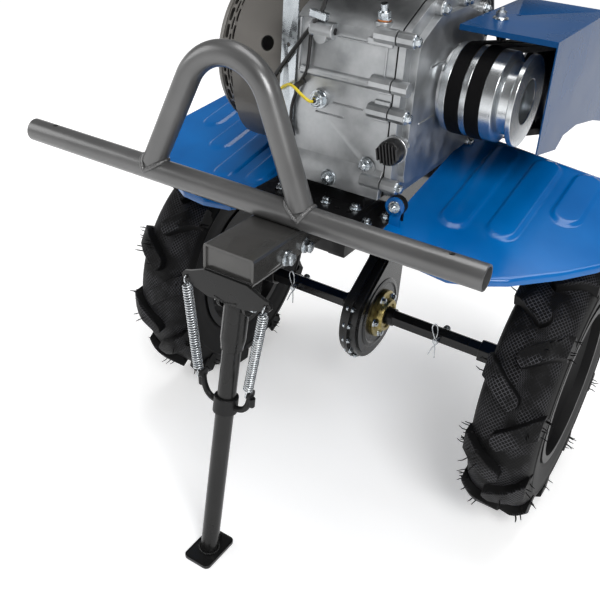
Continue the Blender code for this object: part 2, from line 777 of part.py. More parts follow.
def make_bumper(parent):
    """Cross bar with open ends and small holes, and the arch welded on top of it."""
    radius = BUMPER_TUBE / 2
    z = BOX_TOP + GAP + radius
    half = BUMPER_LENGTH / 2
    centre = (BUMPER_OFFSET, BUMPER_Y, z)
    bar = round_bar(radius, -half, half, "X", centre, 16)
    spread = ARCH_SPREAD / 2
    legs = ARCH_HEIGHT - spread
    path = [(BUMPER_OFFSET - spread, BUMPER_Y, z)]
    steps = 10
    for step in range(steps + 1):
        turn = math.pi * (1 - step / steps)
        path.append((BUMPER_OFFSET + spread * math.cos(turn), BUMPER_Y, z + legs + spread * math.sin(turn)))
    path.append((BUMPER_OFFSET + spread, BUMPER_Y, z))
    arch = swept(path, radius, 12)
    cuts = []
    for side in (-1, 1):
        mouth = BUMPER_OFFSET + side * half
        ends = sorted((side * (half - BUMPER_BORE), side * (half + 0.01)))
        cuts.append(round_bar(radius - BUMPER_WALL, ends[0], ends[1], "X", centre))
        hole_x = mouth - side * BUMPER_HOLE_INSET
        cuts.append(round_bar(BUMPER_HOLE / 2, 0.0, 0.05, "Z", (hole_x, BUMPER_Y, z)))
    return fuse("bumper_bar", PAINT_GREY, [bar, arch], cuts, parent)


# Stand

def make_stand_bracket(parent):
    """Front plate with two spring ears, and two cheeks that hold the leg's pivot."""
    face = BOX_FRONT - GAP
    low = BOX_TOP - BOX_HEIGHT
    ear = EAR_SPREAD / 2
    outline = [
        (-0.034, low + 0.004), (0.034, low + 0.004), (ear - 0.006, low - 0.006), (ear + 0.007, low - 0.010),
        (ear + 0.008, low - 0.022), (ear - 0.008, low - 0.026), (0.030, low - 0.034), (-0.030, low - 0.034),
        (-ear + 0.008, low - 0.026), (-ear - 0.008, low - 0.022), (-ear - 0.007, low - 0.010),
        (-ear + 0.006, low - 0.006),
    ]
    outline = [(FRAME_OFFSET + x, z) for x, z in rounded_outline(outline, 0.005, 1)]
    plate = prism(outline, face - STAND_PLATE_THICKNESS, face, "XZ")
    solids = [plate]
    inside = SLEEVE_RADIUS + 2 * GAP
    roof = low - GAP
    for side in (-1, 1):
        ends = sorted((FRAME_OFFSET + side * inside, FRAME_OFFSET + side * (inside + CHEEK_THICKNESS)))
        low_z = STAND_PIVOT_Z
        cheek = [(face - 0.002, roof)]
        for step in range(7):
            turn = math.pi + math.pi * step / 6
            cheek.append((STAND_PIVOT_Y + CHEEK_RADIUS * math.cos(turn), low_z + CHEEK_RADIUS * math.sin(turn)))
        cheek.append((STAND_PIVOT_Y + CHEEK_RADIUS + 0.010, roof))
        solids.append(prism(cheek, ends[0], ends[1]))
    bolt = round_bar(STAND_BOLT_RADIUS + FIT, -0.1, 0.1, "X", (FRAME_OFFSET, STAND_PIVOT_Y, STAND_PIVOT_Z))
    cuts = [bolt]
    for side in (-1, 1):
        spot = (FRAME_OFFSET + side * ear, 0, low - 0.016)
        cuts.append(round_bar(0.0035, face - 0.02, face + 0.02, "Y", spot))
    return fuse("stand_bracket", PAINT_DARK, solids, cuts, parent)


def leg_line():
    top = Vector((FRAME_OFFSET, STAND_PIVOT_Y, STAND_PIVOT_Z))
    bottom = Vector((FRAME_OFFSET, STAND_PIVOT_Y - LEG_LEAN, FOOT_THICKNESS))
    return top, bottom


def along_leg(distance):
    top, bottom = leg_line()
    return top + (bottom - top).normalized() * distance


def make_stand_leg(parent):
    top, bottom = leg_line()
    pivot_spot = tuple(top)
    head = swept([along_leg(-0.013), along_leg(SLEEVE_LENGTH - 0.012)], SLEEVE_RADIUS, LEG_SIDES)
    crimp = swept([along_leg(SLEEVE_LENGTH - 0.013), along_leg(SLEEVE_LENGTH)], LEG_RADIUS + 0.0022, LEG_SIDES)
    tube = swept([along_leg(0.02), bottom + (bottom - top).normalized() * 0.002], LEG_RADIUS, LEG_SIDES)
    foot_y = bottom.y
    foot = rounded_outline([
        (FRAME_OFFSET - FOOT_WIDTH / 2, foot_y - FOOT_LENGTH / 2),
        (FRAME_OFFSET + FOOT_WIDTH / 2, foot_y - FOOT_LENGTH / 2),
        (FRAME_OFFSET + FOOT_WIDTH / 2, foot_y + FOOT_LENGTH / 2),
        (FRAME_OFFSET - FOOT_WIDTH / 2, foot_y + FOOT_LENGTH / 2)], 0.008, 2)
    plate = prism(foot, 0.0, FOOT_THICKNESS, "XY")
    heel = prism([(foot_y + LEG_RADIUS * 0.5, FOOT_THICKNESS - 0.001), (foot_y + 0.030, FOOT_THICKNESS - 0.001),
                  (foot_y + LEG_RADIUS * 0.8, 0.034)], FRAME_OFFSET - 0.0025, FRAME_OFFSET + 0.0025)
    bore = round_bar(STAND_BOLT_RADIUS + FIT, -0.1, 0.1, "X", pivot_spot)
    ground = block((-0.3, -0.7, -0.1), (0.3, 0.0, 0.0))
    return fuse("stand_leg", PAINT_DARK, [head, crimp, tube, plate, heel], [bore, ground], parent, pivot_spot)


def anchor_spot(side):
    centre = along_leg(COLLAR_BELOW - 0.022)
    return Vector((FRAME_OFFSET + side * ANCHOR_SPREAD / 2, centre.y - 0.004, centre.z))


def make_stand_collar(parent):
    """Clamp ring round the leg with two bent arms that the springs hook on."""
    outer = LEG_RADIUS + GAP + COLLAR_WALL
    ring = swept([along_leg(COLLAR_BELOW), along_leg(COLLAR_BELOW + COLLAR_HEIGHT)], outer, LEG_SIDES)
    bore = swept([along_leg(COLLAR_BELOW - 0.01), along_leg(COLLAR_BELOW + COLLAR_HEIGHT + 0.01)],
                 LEG_RADIUS + GAP, LEG_SIDES)
    solids = [ring]
    for side in (-1, 1):
        root = along_leg(COLLAR_BELOW + COLLAR_HEIGHT * 0.55)
        root.x += side * (outer - 0.002)
        tip = anchor_spot(side)
        knee = Vector((tip.x - side * 0.002, (root.y + tip.y) / 2, root.z))
        path = bent_path([root, knee, tip + Vector((0, 0, 0.001))], 0.016, 3)
        solids.append(swept(path, 0.0042, 6))
        solids.append(round_bar(EYE_RADIUS, -0.0025, 0.0025, "X", tuple(tip)))
    cuts = [bore]
    return fuse("stand_collar", PAINT_BLACK, solids, cuts, parent, tuple(along_leg(0)))


def spring_path(side):
    """Hook, closed winding and hook between the plate's ear and the collar's arm."""
    seat = SPRING_WIRE / 2 + GAP
    ear = Vector((FRAME_OFFSET + side * EAR_SPREAD / 2, BOX_FRONT - GAP - STAND_PLATE_THICKNESS - seat,
                  BOX_TOP - BOX_HEIGHT - 0.016))
    low = anchor_spot(side) + Vector((0, -EYE_RADIUS - seat, 0))
    axis = (low - ear).normalized()
    span = (low - ear).length
    winding = SPRING_CURLS * SPRING_PITCH
    start = (span - winding) / 2
    across = axis.orthogonal().normalized()
    other = axis.cross(across)
    points = []
    points.append(ear + axis * 0.001)
    points.append(ear + axis * (start * 0.55))
    total = SPRING_CURLS * CURL_POINTS
    for step in range(total + 1):
        turn = 2 * math.pi * step / CURL_POINTS
        ring = across * math.cos(turn) + other * math.sin(turn)
        points.append(ear + axis * (start + winding * step / total) + ring * SPRING_RADIUS)
    points.append(low - axis * (start * 0.55))
    points.append(low - axis * 0.001)
    return points


def spring_gap(points):
    """Least clear distance between neighbouring curls, measured on the points."""
    least = 1.0
    for index in range(2, len(points) - 2 - CURL_POINTS):
        for near in (CURL_POINTS - 1, CURL_POINTS, CURL_POINTS + 1):
            if index + near < len(points) - 2:
                least = min(least, (points[index] - points[index + near]).length - SPRING_WIRE)
    return least


def make_spring(name, parent, side):
    points = spring_path(side)
    print(name, "least gap to itself:", round(spring_gap(points) * 1000, 2), "mm")
    return fuse(name, ZINC, [swept(points, SPRING_WIRE / 2, 6)], parent=parent, smooth=80)


# Engine

def crankcase_outline(grow=0.0):
    """Side view of the crankcase flange, seen along the crankshaft."""
    front = CRANK_Y - CASE_FRONT - grow
    back = CRANK_Y + CASE_BACK + grow
    bottom = ENGINE_BOTTOM
    top = CRANK_Z + 0.122 + grow
    points = [
        (front, bottom), (back, bottom), (back, CRANK_Z + 0.020), (back - 0.030, CRANK_Z + 0.100),
        (CRANK_Y + 0.020, top), (CRANK_Y - 0.080, top), (front, CRANK_Z + 0.090),
    ]
    return rounded_outline(points, 0.022, 2)


def cylinder_frame():
    tilt = math.radians(CYLINDER_TILT)
    along = Vector((0, math.cos(tilt), math.sin(tilt)))
    start = Vector((CYLINDER_X, CRANK_Y, CRANK_Z))
    return start, along


def on_cylinder(distance):
    start, along = cylinder_frame()
    return start + along * distance


def make_crankcase(parent):
    body = prism(crankcase_outline(), CASE_RIGHT, CASE_LEFT)
    solids = [body]
    front = CRANK_Y - CASE_FRONT
    rib_z = CRANK_Z + 0.022
    solids.append(round_bar(0.0065, CASE_RIGHT + 0.012, CASE_LEFT - 0.006, "X", (0, front, rib_z)))
    for x, z, radius, reach in front_bosses():
        spot = (x, 0, z)
        solids.append(round_bar(radius, front - reach, front + 0.004, "Y", spot))
    for z in case_bolt_heights():
        solids.append(round_bar(BOLT_BOSS, CASE_LEFT - 0.030, CASE_LEFT, "X", (0, front - 0.002, z)))
    barrel_start = on_cylinder(0.085)
    head_seat = on_cylinder(0.172)
    solids.append(swept([barrel_start, head_seat], CYLINDER_RADIUS, 12))
    fins = []
    for index in range(FIN_COUNT):
        low = 0.172 - 0.004 - FIN_PITCH * index
        fins.append(swept([on_cylinder(low - FIN_THICKNESS), on_cylinder(low)], FIN_RADIUS, 12))
    solids.append(join_solids(fins))
    bore = round_bar(SHAFT_RADIUS + 0.004 + FIT, -0.3, 0.3, "X", (0, CRANK_Y, CRANK_Z))
    return fuse("crankcase", CAST_SILVER, solids, [bore], parent, smooth=32)


def front_bosses():
    """Bosses on the crankcase's front: level sender, drain, plug and tank bracket."""
    return (
        (-0.026, CRANK_Z - 0.012, 0.0135, 0.004),
        (0.000, ENGINE_BOTTOM + 0.014, 0.011, 0.004),
        (0.058, ENGINE_BOTTOM + 0.043, 0.0095, 0.003),
        (-0.027, CRANK_Z + 0.072, 0.010, 0.012),
    )


def case_bolt_heights():
    return (ENGINE_BOTTOM + 0.024, CRANK_Z - 0.010, CRANK_Z + 0.026, CRANK_Z + 0.086)


def make_gasket(parent):
    low = CASE_LEFT + GAP
    sheet = prism(crankcase_outline(0.0008), low, low + GASKET)
    bore = round_bar(SHAFT_RADIUS + 0.004 + FIT, -0.3, 0.3, "X", (0, CRANK_Y, CRANK_Z))
    return fuse("crankcase_gasket", GASKET_BLACK, [sheet], [bore], parent)


def cover_start():
    return CASE_LEFT + GASKET + 2 * GAP


def make_crankcase_cover(parent):
    """Side cover with bolt bosses round its rim and a raised bearing dome."""
    low = cover_start()
    rim = low + 0.010
    high = low + COVER_THICKNESS
    front = CRANK_Y - CASE_FRONT
    plate = prism(crankcase_outline(), low, rim)
    inner = []
    middle = Vector((CRANK_Y - 0.010, (ENGINE_BOTTOM + CRANK_Z + 0.122) / 2))
    for point in crankcase_outline():
        inner.append(tuple(middle + (Vector(point) - middle) * 0.86))
    raised = prism(inner, rim - 0.002, rim + 0.010)
    dome_profile = [(rim, 0), (high, 0), (high, 0.034), (rim + 0.006, 0.058), (rim, 0.058)]
    dome = turned(dome_profile, "X", (0, CRANK_Y, CRANK_Z))
    solids = [plate, raised, dome]
    for z in case_bolt_heights():
        solids.append(round_bar(BOLT_BOSS, low, low + 0.022, "X", (0, front - 0.002, z)))
    cap_z = cap_height()
    cap_x = cap_centre()
    solids.append(round_bar(CAP_NECK, front - 0.006, front + 0.020, "Y", (cap_x, 0, cap_z)))
    bore = round_bar(SHAFT_RADIUS + FIT, -0.3, 0.3, "X", (0, CRANK_Y, CRANK_Z))
    neck = round_bar(CAP_NECK - 0.004 + FIT, front - 0.02, front + 0.014, "Y", (cap_x, 0, cap_z))
    return fuse("crankcase_cover", CAST_SILVER, solids, [bore, neck], parent, smooth=32)


def cap_centre():
    return cover_start() + CAP_NECK + GAP


def cap_height():
    return CRANK_Z - 0.055


def make_filler_cap(parent):
    """Ribbed oil cap that screws into the cover's neck."""
    front = CRANK_Y - CASE_FRONT
    x = cap_centre()
    z = cap_height()
    spot = (x, front - 0.0063, z)
    points = []
    teeth = 12
    for step in range(teeth * 2):
        turn = math.pi * step / teeth
        radius = 0.0172 if step % 2 else 0.0158
        points.append((x + radius * math.cos(turn), z + radius * math.sin(turn)))
    head = prism(points, spot[1] - 0.016, spot[1] - GAP, "XZ")
    stem = round_bar(CAP_NECK - 0.0045, -0.001, 0.018, "Y", spot)
    grip = block((x - 0.0125, spot[1] - 0.021, z - 0.003), (x + 0.0125, spot[1] - 0.015, z + 0.003))
    return fuse("oil_filler_cap", PLASTIC, [head, stem, grip], parent=parent, origin=spot, smooth=20)


def make_oil_sender(parent):
    x, z, radius, reach = front_bosses()[0]
    front = CRANK_Y - CASE_FRONT - reach
    spot = (x, front - GAP, z)
    washer = round_bar(0.0125, -0.002, 0.0, "Y", spot)
    head = hex_bar(0.020, -0.009, -0.001, "Y", spot)
    nose = round_bar(0.0065, -0.014, -0.008, "Y", spot)
    return fuse("oil_level_sender", ZINC, [washer, head, nose], parent=parent, origin=spot)


def smooth_route(points, steps):
    """Catmull-Rom curve through the route's own points."""
    route = [Vector(point) for point in points]
    route = [route[0] * 2 - route[1]] + route + [route[-1] * 2 - route[-2]]
    path = []
    for a, b, c, d in zip(route, route[1:], route[2:], route[3:]):
        for step in range(steps):
            t = step / steps
            path.append(0.5 * ((b * 2) + (c - a) * t + (a * 2 - b * 5 + c * 4 - d) * t * t
                               + (b * 3 - a - c * 3 + d) * t ** 3))
    path.append(route[-2])
    return path


def make_sender_wire(parent):
    x, z, radius, reach = front_bosses()[0]
    nose = CRANK_Y - CASE_FRONT - reach - 0.0148 - GAP
    route = [
        (x, nose, z), (x, nose - 0.006, z), (x - 0.014, nose - 0.010, z + 0.006),
        (x - 0.030, nose - 0.006, z + 0.013), (x - 0.046, nose + 0.002, z + 0.012),
        (x - 0.056, nose + 0.006, z + 0.004),
    ]
    return fuse("sender_wire", WIRE_YELLOW, [swept(smooth_route(route, 3), 0.0016, 6)], parent=parent)


def plate_front():
    return CRANK_Y - CASE_FRONT - 0.0040


def make_control_plate(parent):
    """Plated strip between the blower housing and the crankcase, bent forward at the top."""
    x = CASE_RIGHT - GAP - 0.0
    low = CRANK_Z - 0.075
    high = CRANK_Z + 0.112
    thickness = 0.0025
    front = plate_front()
    strip = block((x - 0.020, front, low), (x + 0.004, front + thickness, high))
    leaf = block((x - thickness - GAP, front + 0.001, low + 0.010), (x - GAP, front + 0.040, high - 0.020))
    hole = round_bar(0.003, front - 0.01, front + 0.01, "Y", (x - 0.009, 0, CRANK_Z + 0.050))
    return fuse("control_plate", ZINC, [strip, leaf], [hole], parent)


def make_throttle_cable(parent):
    """Black cable that crosses the front of the engine under its clamp."""
    x, z, radius, reach = front_bosses()[3]
    cable = 0.0030
    y = plate_front() - cable - GAP
    route = [
        (x + 0.006, y + 0.030, z + 0.105), (x + 0.004, y + 0.006, z + 0.072), (x - 0.002, y, z + 0.030),
        (x - 0.030, y, z - 0.010), (x - 0.060, y, z - 0.052), (x - 0.078, y, z - 0.080),
        (x - 0.088, y + 0.006, z - 0.100),
    ]
    return fuse("throttle_cable", PLASTIC, [swept(smooth_route(route, 3), cable, 6)], parent=parent)


def make_head(parent):
    """Finned cylinder head on the barrel."""
    low = 0.172 + GAP
    start, along = cylinder_frame()
    tilt = math.radians(CYLINDER_TILT)
    core = block((CYLINDER_X - 0.046, low, -0.046), (CYLINDER_X + 0.046, low + 0.058, 0.046), 0.004)
    solids = [core]
    for index in range(4):
        y = low + 0.006 + index * 0.013
        solids.append(block((CYLINDER_X - 0.062, y, -0.060), (CYLINDER_X + 0.062, y + 0.0035, 0.060)))
    turn = Matrix.Translation((0, CRANK_Y, CRANK_Z)) @ Matrix.Rotation(tilt, 4, "X")
    for item in solids:
        moved(item, turn)
    return fuse("cylinder_head", CAST_SILVER, solids, parent=parent)


def make_rocker_cover(parent):
    tilt = math.radians(CYLINDER_TILT)
    low = 0.172 + 0.058 + 2 * GAP
    body = block((CYLINDER_X - 0.043, low, -0.041), (CYLINDER_X + 0.043, low + 0.026, 0.041), 0.007, 1)
    lip = block((CYLINDER_X - 0.047, low, -0.045), (CYLINDER_X + 0.047, low + 0.005, 0.045))
    turn = Matrix.Translation((0, CRANK_Y, CRANK_Z)) @ Matrix.Rotation(tilt, 4, "X")
    for item in (body, lip):
        moved(item, turn)
    return fuse("rocker_cover", PAINT_BLACK, [body, lip], parent=parent)


def drum_left():
    return CASE_RIGHT - GAP - 0.0035


def make_fan_shroud(parent):
    """Blower housing: a drum open to the recoil starter, with an air duct to the cylinder."""
    left = drum_left()
    right = left - DRUM_WIDTH
    centre = (0, CRANK_Y, CRANK_Z)
    inner = DRUM_RADIUS - DRUM_WALL
    drum = round_bar(DRUM_RADIUS, right, left, "X", centre)
    duct_top = CRANK_Z + DRUM_RADIUS * 0.72
    duct_low = CRANK_Z + 0.010
    duct_rear = CRANK_Y + DRUM_RADIUS + 0.060
    duct = block((right + 0.020, CRANK_Y, duct_low), (left - 0.0005, duct_rear, duct_top))
    hollow = block((right + 0.020 + DRUM_WALL, CRANK_Y + 0.030, duct_low + DRUM_WALL),
                   (left - DRUM_WALL - 0.0015, duct_rear + 0.01, duct_top - DRUM_WALL))
    cavity = round_bar(inner, right - 0.01, left - DRUM_WALL, "X", centre)
    bore = round_bar(0.030, left - 0.02, left + 0.02, "X", centre)
    return fuse("fan_shroud", SHROUD_GREY, [drum, duct], [cavity, hollow, bore], parent, smooth=32)


def make_recoil_cover(parent):
    """Pull starter's housing with rows of air slots round its rim."""
    right_of_drum = drum_left() - DRUM_WIDTH - GAP
    centre = (0, CRANK_Y, CRANK_Z)
    end = right_of_drum - RECOIL_WIDTH
    radius = RECOIL_RADIUS
    wall = 0.003
    profile = [
        (right_of_drum, DRUM_RADIUS - 0.002), (right_of_drum - wall, DRUM_RADIUS - 0.002),
        (right_of_drum - wall, radius), (end + 0.010, radius), (end, radius - 0.014), (end, 0.0),
        (end + wall, 0.0), (end + wall, radius - 0.015), (end + 0.011, radius - wall), (right_of_drum, radius - wall),
    ]
    shell = turned(profile, "X", centre, 28)
    slots = []
    count = 9
    for index in range(count):
        turn = 2 * math.pi * (index + 0.5) / count
        slot = block((end + 0.014, -0.011, radius - 0.012), (right_of_drum - 0.009, 0.011, radius + 0.006))
        place = Matrix.Translation((0, CRANK_Y, CRANK_Z)) @ Matrix.Rotation(turn, 4, "X")
        slots.append(moved(slot, place))
    guide = handle_spot()
    eye = round_bar(0.010, -0.012, 0.006, "Z", (guide[0], guide[1], guide[2] - 0.006))
    eye_bore = round_bar(0.004, -0.03, 0.03, "Z", guide)
    return fuse("recoil_cover", SHROUD_GREY, [shell, eye], [join_solids(slots), eye_bore], parent, smooth=32)


def handle_spot():
    x = drum_left() - DRUM_WIDTH - GAP - RECOIL_WIDTH * 0.5
    return (x, CRANK_Y + 0.045, CRANK_Z + RECOIL_RADIUS * 0.955)


def make_starter_grip(parent):
    x, y, z = handle_spot()
    z += 0.0003
    stem = round_bar(0.0055, GAP, 0.020, "Z", (x, y, z))
    bar = swept([(x, y - 0.034, z + 0.022), (x, y + 0.034, z + 0.022)], 0.0085, 12)
    cord = round_bar(0.0028, -0.060, 0.003, "Z", (x, y, z), 8)
    return fuse("starter_grip", PLASTIC, [bar, stem, cord], parent=parent, origin=(x, y, z))


def make_crankshaft(parent):
    centre = (0, CRANK_Y, CRANK_Z)
    end = pulley_left() + PULLEY_WIDTH - 0.018
    start = drum_left() - DRUM_WIDTH + 0.030
    mid = cover_start() - 0.001
    profile = [(start, 0.0), (end, 0.0), (end, SHAFT_RADIUS), (mid, SHAFT_RADIUS), (mid, SHAFT_RADIUS + 0.004),
               (CASE_RIGHT + 0.010, SHAFT_RADIUS + 0.004), (CASE_RIGHT + 0.010, SHAFT_RADIUS), (start, SHAFT_RADIUS)]
    return fuse("crankshaft", MACHINED, [turned(profile, "X", centre)], parent=parent, origin=centre)


def make_flywheel(parent):
    """Flywheel with its ring of fan blades inside the blower housing."""
    centre = (0, CRANK_Y, CRANK_Z)
    left = drum_left() - DRUM_WALL - 0.012
    right = left - 0.030
    radius = 0.100
    disc = turned([(left, SHAFT_RADIUS + GAP), (left, 0.034), (left - 0.010, radius),
                   (right, radius), (right, SHAFT_RADIUS + GAP)], "X", centre, 20)
    blades = []
    for index in range(6):
        turn = 2 * math.pi * index / 6
        blade = block((right - 0.022, -0.0018, 0.062), (right + 0.002, 0.0018, 0.098))
        tilt = Matrix.Translation((0, 0, 0.08)) @ Matrix.Rotation(0.5, 4, "X") @ Matrix.Translation((0, 0, -0.08))
        blades.append(moved(blade, Matrix.Translation(centre) @ Matrix.Rotation(turn, 4, "X") @ tilt))
    return fuse("flywheel", MACHINED, [disc, join_solids(blades)], parent=parent, origin=centre)


# Belt drive

def pulley_left():
    return cover_start() + COVER_THICKNESS + 0.0015


def groove_centres():
    first = pulley_left() + 0.013
    return [first + GROOVE_PITCH * index for index in range(3)]


def grooved_profile(start, end, radius, bore, grooves, recess):
    """Pulley section: V grooves cut from the rim, a bore, and a hollow outer face."""
    mouth = BELT_WIDTH / 2 - BELT_PROUD * BELT_TAPER + FIT
    floor = mouth - GROOVE_DEPTH * BELT_TAPER
    profile = [(start, bore), (start, radius)]
    for centre in grooves:
        profile += [(centre - mouth, radius), (centre - floor, radius - GROOVE_DEPTH),
                    (centre + floor, radius - GROOVE_DEPTH), (centre + mouth, radius)]
    profile += [(end, radius), (end, radius * 0.72), (end - recess, radius * 0.62), (end - recess, bore)]
    return profile


def make_engine_pulley(parent):
    centre = (0, CRANK_Y, CRANK_Z)
    start = pulley_left()
    profile = grooved_profile(start, start + PULLEY_WIDTH, PULLEY_RADIUS, SHAFT_RADIUS + GAP,
                              groove_centres(), 0.022)
    return fuse("engine_pulley", MACHINED, [turned(profile, "X", centre, 20)], parent=parent, origin=centre)


def make_driven_pulley(parent):
    centre = (0, DRIVEN_Y, DRIVEN_Z)
    grooves = groove_centres()[:2]
    start = grooves[0] - BELT_WIDTH / 2 - 0.005
    end = grooves[1] + BELT_WIDTH / 2 + 0.005
    profile = grooved_profile(start, end, DRIVEN_RADIUS, 0.0125 + GAP, grooves, 0.010)
    return fuse("driven_pulley", MACHINED, [turned(profile, "X", centre, 20)], parent=parent, origin=centre)


def make_input_shaft(parent):
    """Gearbox input shaft with a collar on each side of the driven pulley."""
    centre = (0, DRIVEN_Y, DRIVEN_Z)
    start = FRAME_OFFSET + GEARBOX_WIDTH / 2 - 0.015
    grooves = groove_centres()[:2]
    end = grooves[1] + BELT_WIDTH / 2 + 0.004
    collar = grooves[0] - BELT_WIDTH / 2 - 0.005 - GAP
    outer = grooves[1] + BELT_WIDTH / 2 + 0.005 - 0.010 + GAP
    solids = [
        round_bar(0.0125, start, end, "X", centre),
        round_bar(0.018, FRAME_OFFSET + GEARBOX_WIDTH / 2 + 0.030 + GAP, collar, "X", centre),
        round_bar(0.018, outer, outer + 0.004, "X", centre),
    ]
    return fuse("input_shaft", MACHINED, solids, parent=parent, origin=centre)


def belt_outline(offset):
    """Side view of a belt line round both pulleys, at an offset from the rims."""
    front = Vector((CRANK_Y, CRANK_Z))
    back = Vector((DRIVEN_Y, DRIVEN_Z))
    small = PULLEY_RADIUS + offset
    large = DRIVEN_RADIUS + offset
    line = back - front
    base = math.atan2(line.y, line.x)
    lean = math.acos((small - large) / line.length)
    points = []
    steps = 12
    for step in range(steps + 1):
        turn = base + lean + (2 * math.pi - 2 * lean) * step / steps
        points.append((front.x + small * math.cos(turn), front.y + small * math.sin(turn)))
    for step in range(steps + 1):
        turn = base - lean + 2 * lean * step / steps
        points.append((back.x + large * math.cos(turn), back.y + large * math.sin(turn)))
    return points


def make_belt(name, parent, centre_x):
    """V belt: two loops of points joined into a ring of trapezium section."""
    outer = belt_outline(BELT_PROUD)
    inner = belt_outline(BELT_PROUD - BELT_DEPTH)
    top = BELT_WIDTH / 2
    bottom = top - BELT_DEPTH * BELT_TAPER
    bm = bmesh.new()
    rings = []
    for outside, inside in zip(outer, inner):
        rings.append([
            bm.verts.new((centre_x - top, outside[0], outside[1])),
            bm.verts.new((centre_x + top, outside[0], outside[1])),
            bm.verts.new((centre_x + bottom, inside[0], inside[1])),
            bm.verts.new((centre_x - bottom, inside[0], inside[1])),
        ])
    count = len(rings)
    for index in range(count):
        one, two = rings[index], rings[(index + 1) % count]
        for step in range(4):
            after = (step + 1) % 4
            bm.faces.new((one[step], one[after], two[after], two[step]))
    return fuse(name, RUBBER, [solid_from(bm)], parent=parent)


def cover_side_outline():
    """Side view of the belt cover's outer plate."""
    front_low = COVER_TOP - 0.152
    return [
        (COVER_FRONT, COVER_TOP), (COVER_FRONT + 0.010, front_low), (0.022, front_low - 0.020),
        (0.050, front_low - 0.006), (0.118, front_low - 0.008), (0.230, front_low - 0.030),
        (COVER_REAR - 0.040, front_low - 0.062), (COVER_REAR, front_low - 0.030),
        (COVER_REAR, front_low + 0.040), (COVER_REAR - 0.040, front_low + 0.080), (COVER_BREAK, COVER_TOP),
    ]


def make_belt_cover(parent):
    """Sheet cover: outer plate and top, open at the front, below and on the engine side."""
    outline = cover_side_outline()
    outer = prism(outline, COVER_INNER, COVER_OUTER)
    edge = COVER_SHEET
    hollow_outline = [
        (COVER_FRONT - 0.05, COVER_TOP - edge), (COVER_FRONT - 0.05, 0.30), (COVER_REAR - edge, 0.30),
        (COVER_REAR - edge, COVER_TOP - 0.152 + 0.040 - 0.001), (COVER_REAR - 0.0408, COVER_TOP - 0.152 + 0.078),
        (COVER_BREAK - 0.0006, COVER_TOP - edge),
    ]
    hollow = prism(hollow_outline, COVER_INNER - 0.01, COVER_OUTER - edge)
    hole = round_bar(0.0035, 0.0, 0.3, "Z", cover_bolt_spot())
    return fuse("belt_cover", PAINT_BLUE, [outer], [hollow, hole], parent)


def cover_bolt_spot():
    return (COVER_INNER + 0.040, 0.030, COVER_TOP - 0.1)


def make_cover_stay(parent):
    """Bracket from the engine frame's deck up to the belt cover's top."""
    x = COVER_INNER + 0.040
    y = 0.030
    top = COVER_TOP - COVER_SHEET - GAP
    foot_z = DECK_TOP + GAP
    deck_edge = FRAME_OFFSET + DECK_WIDTH / 2
    back = CRANK_Y + CASE_BACK + 0.012
    rod = swept(bent_path([(deck_edge - 0.010, back, foot_z + 0.001), (deck_edge - 0.010, back, CRANK_Z + 0.066),
                           (x - 0.004, y + 0.012, top - 0.006)], 0.02, 4), 0.005, 8)
    foot = block((deck_edge - 0.024, back - 0.012, foot_z), (deck_edge - 0.001, back + 0.012, foot_z + 0.004))
    pad = block((x - 0.016, y - 0.012, top - 0.010), (x + 0.014, y + 0.020, top))
    thread = round_bar(0.003, 0.0, 0.012 + COVER_SHEET, "Z", (x, y, top - 0.004))
    nut = hex_bar(0.010, COVER_SHEET + 2 * GAP, COVER_SHEET + 0.006, "Z", (x, y, top))
    return fuse("cover_stay", PAINT_BLACK, [pad, rod, foot, thread, nut], parent=parent)


# Mudguards

def guard_line(y):
    """Height of the mudguard's underside along the machine."""
    slope = math.tan(math.radians(GUARD_SLOPE))
    if y <= GUARD_FOLD:
        return GUARD_HEIGHT + slope * y
    crest = GUARD_HEIGHT + slope * GUARD_FOLD
    return crest - (y - GUARD_FOLD) * 0.80


def guard_section():
    top = []
    for y in (GUARD_FRONT, GUARD_FOLD - 0.020, GUARD_FOLD, GUARD_FOLD + 0.016, GUARD_REAR):
        top.append((y, guard_line(y) + GUARD_SHEET))
    low = [(y, z - GUARD_SHEET) for y, z in reversed(top)]
    return top + low


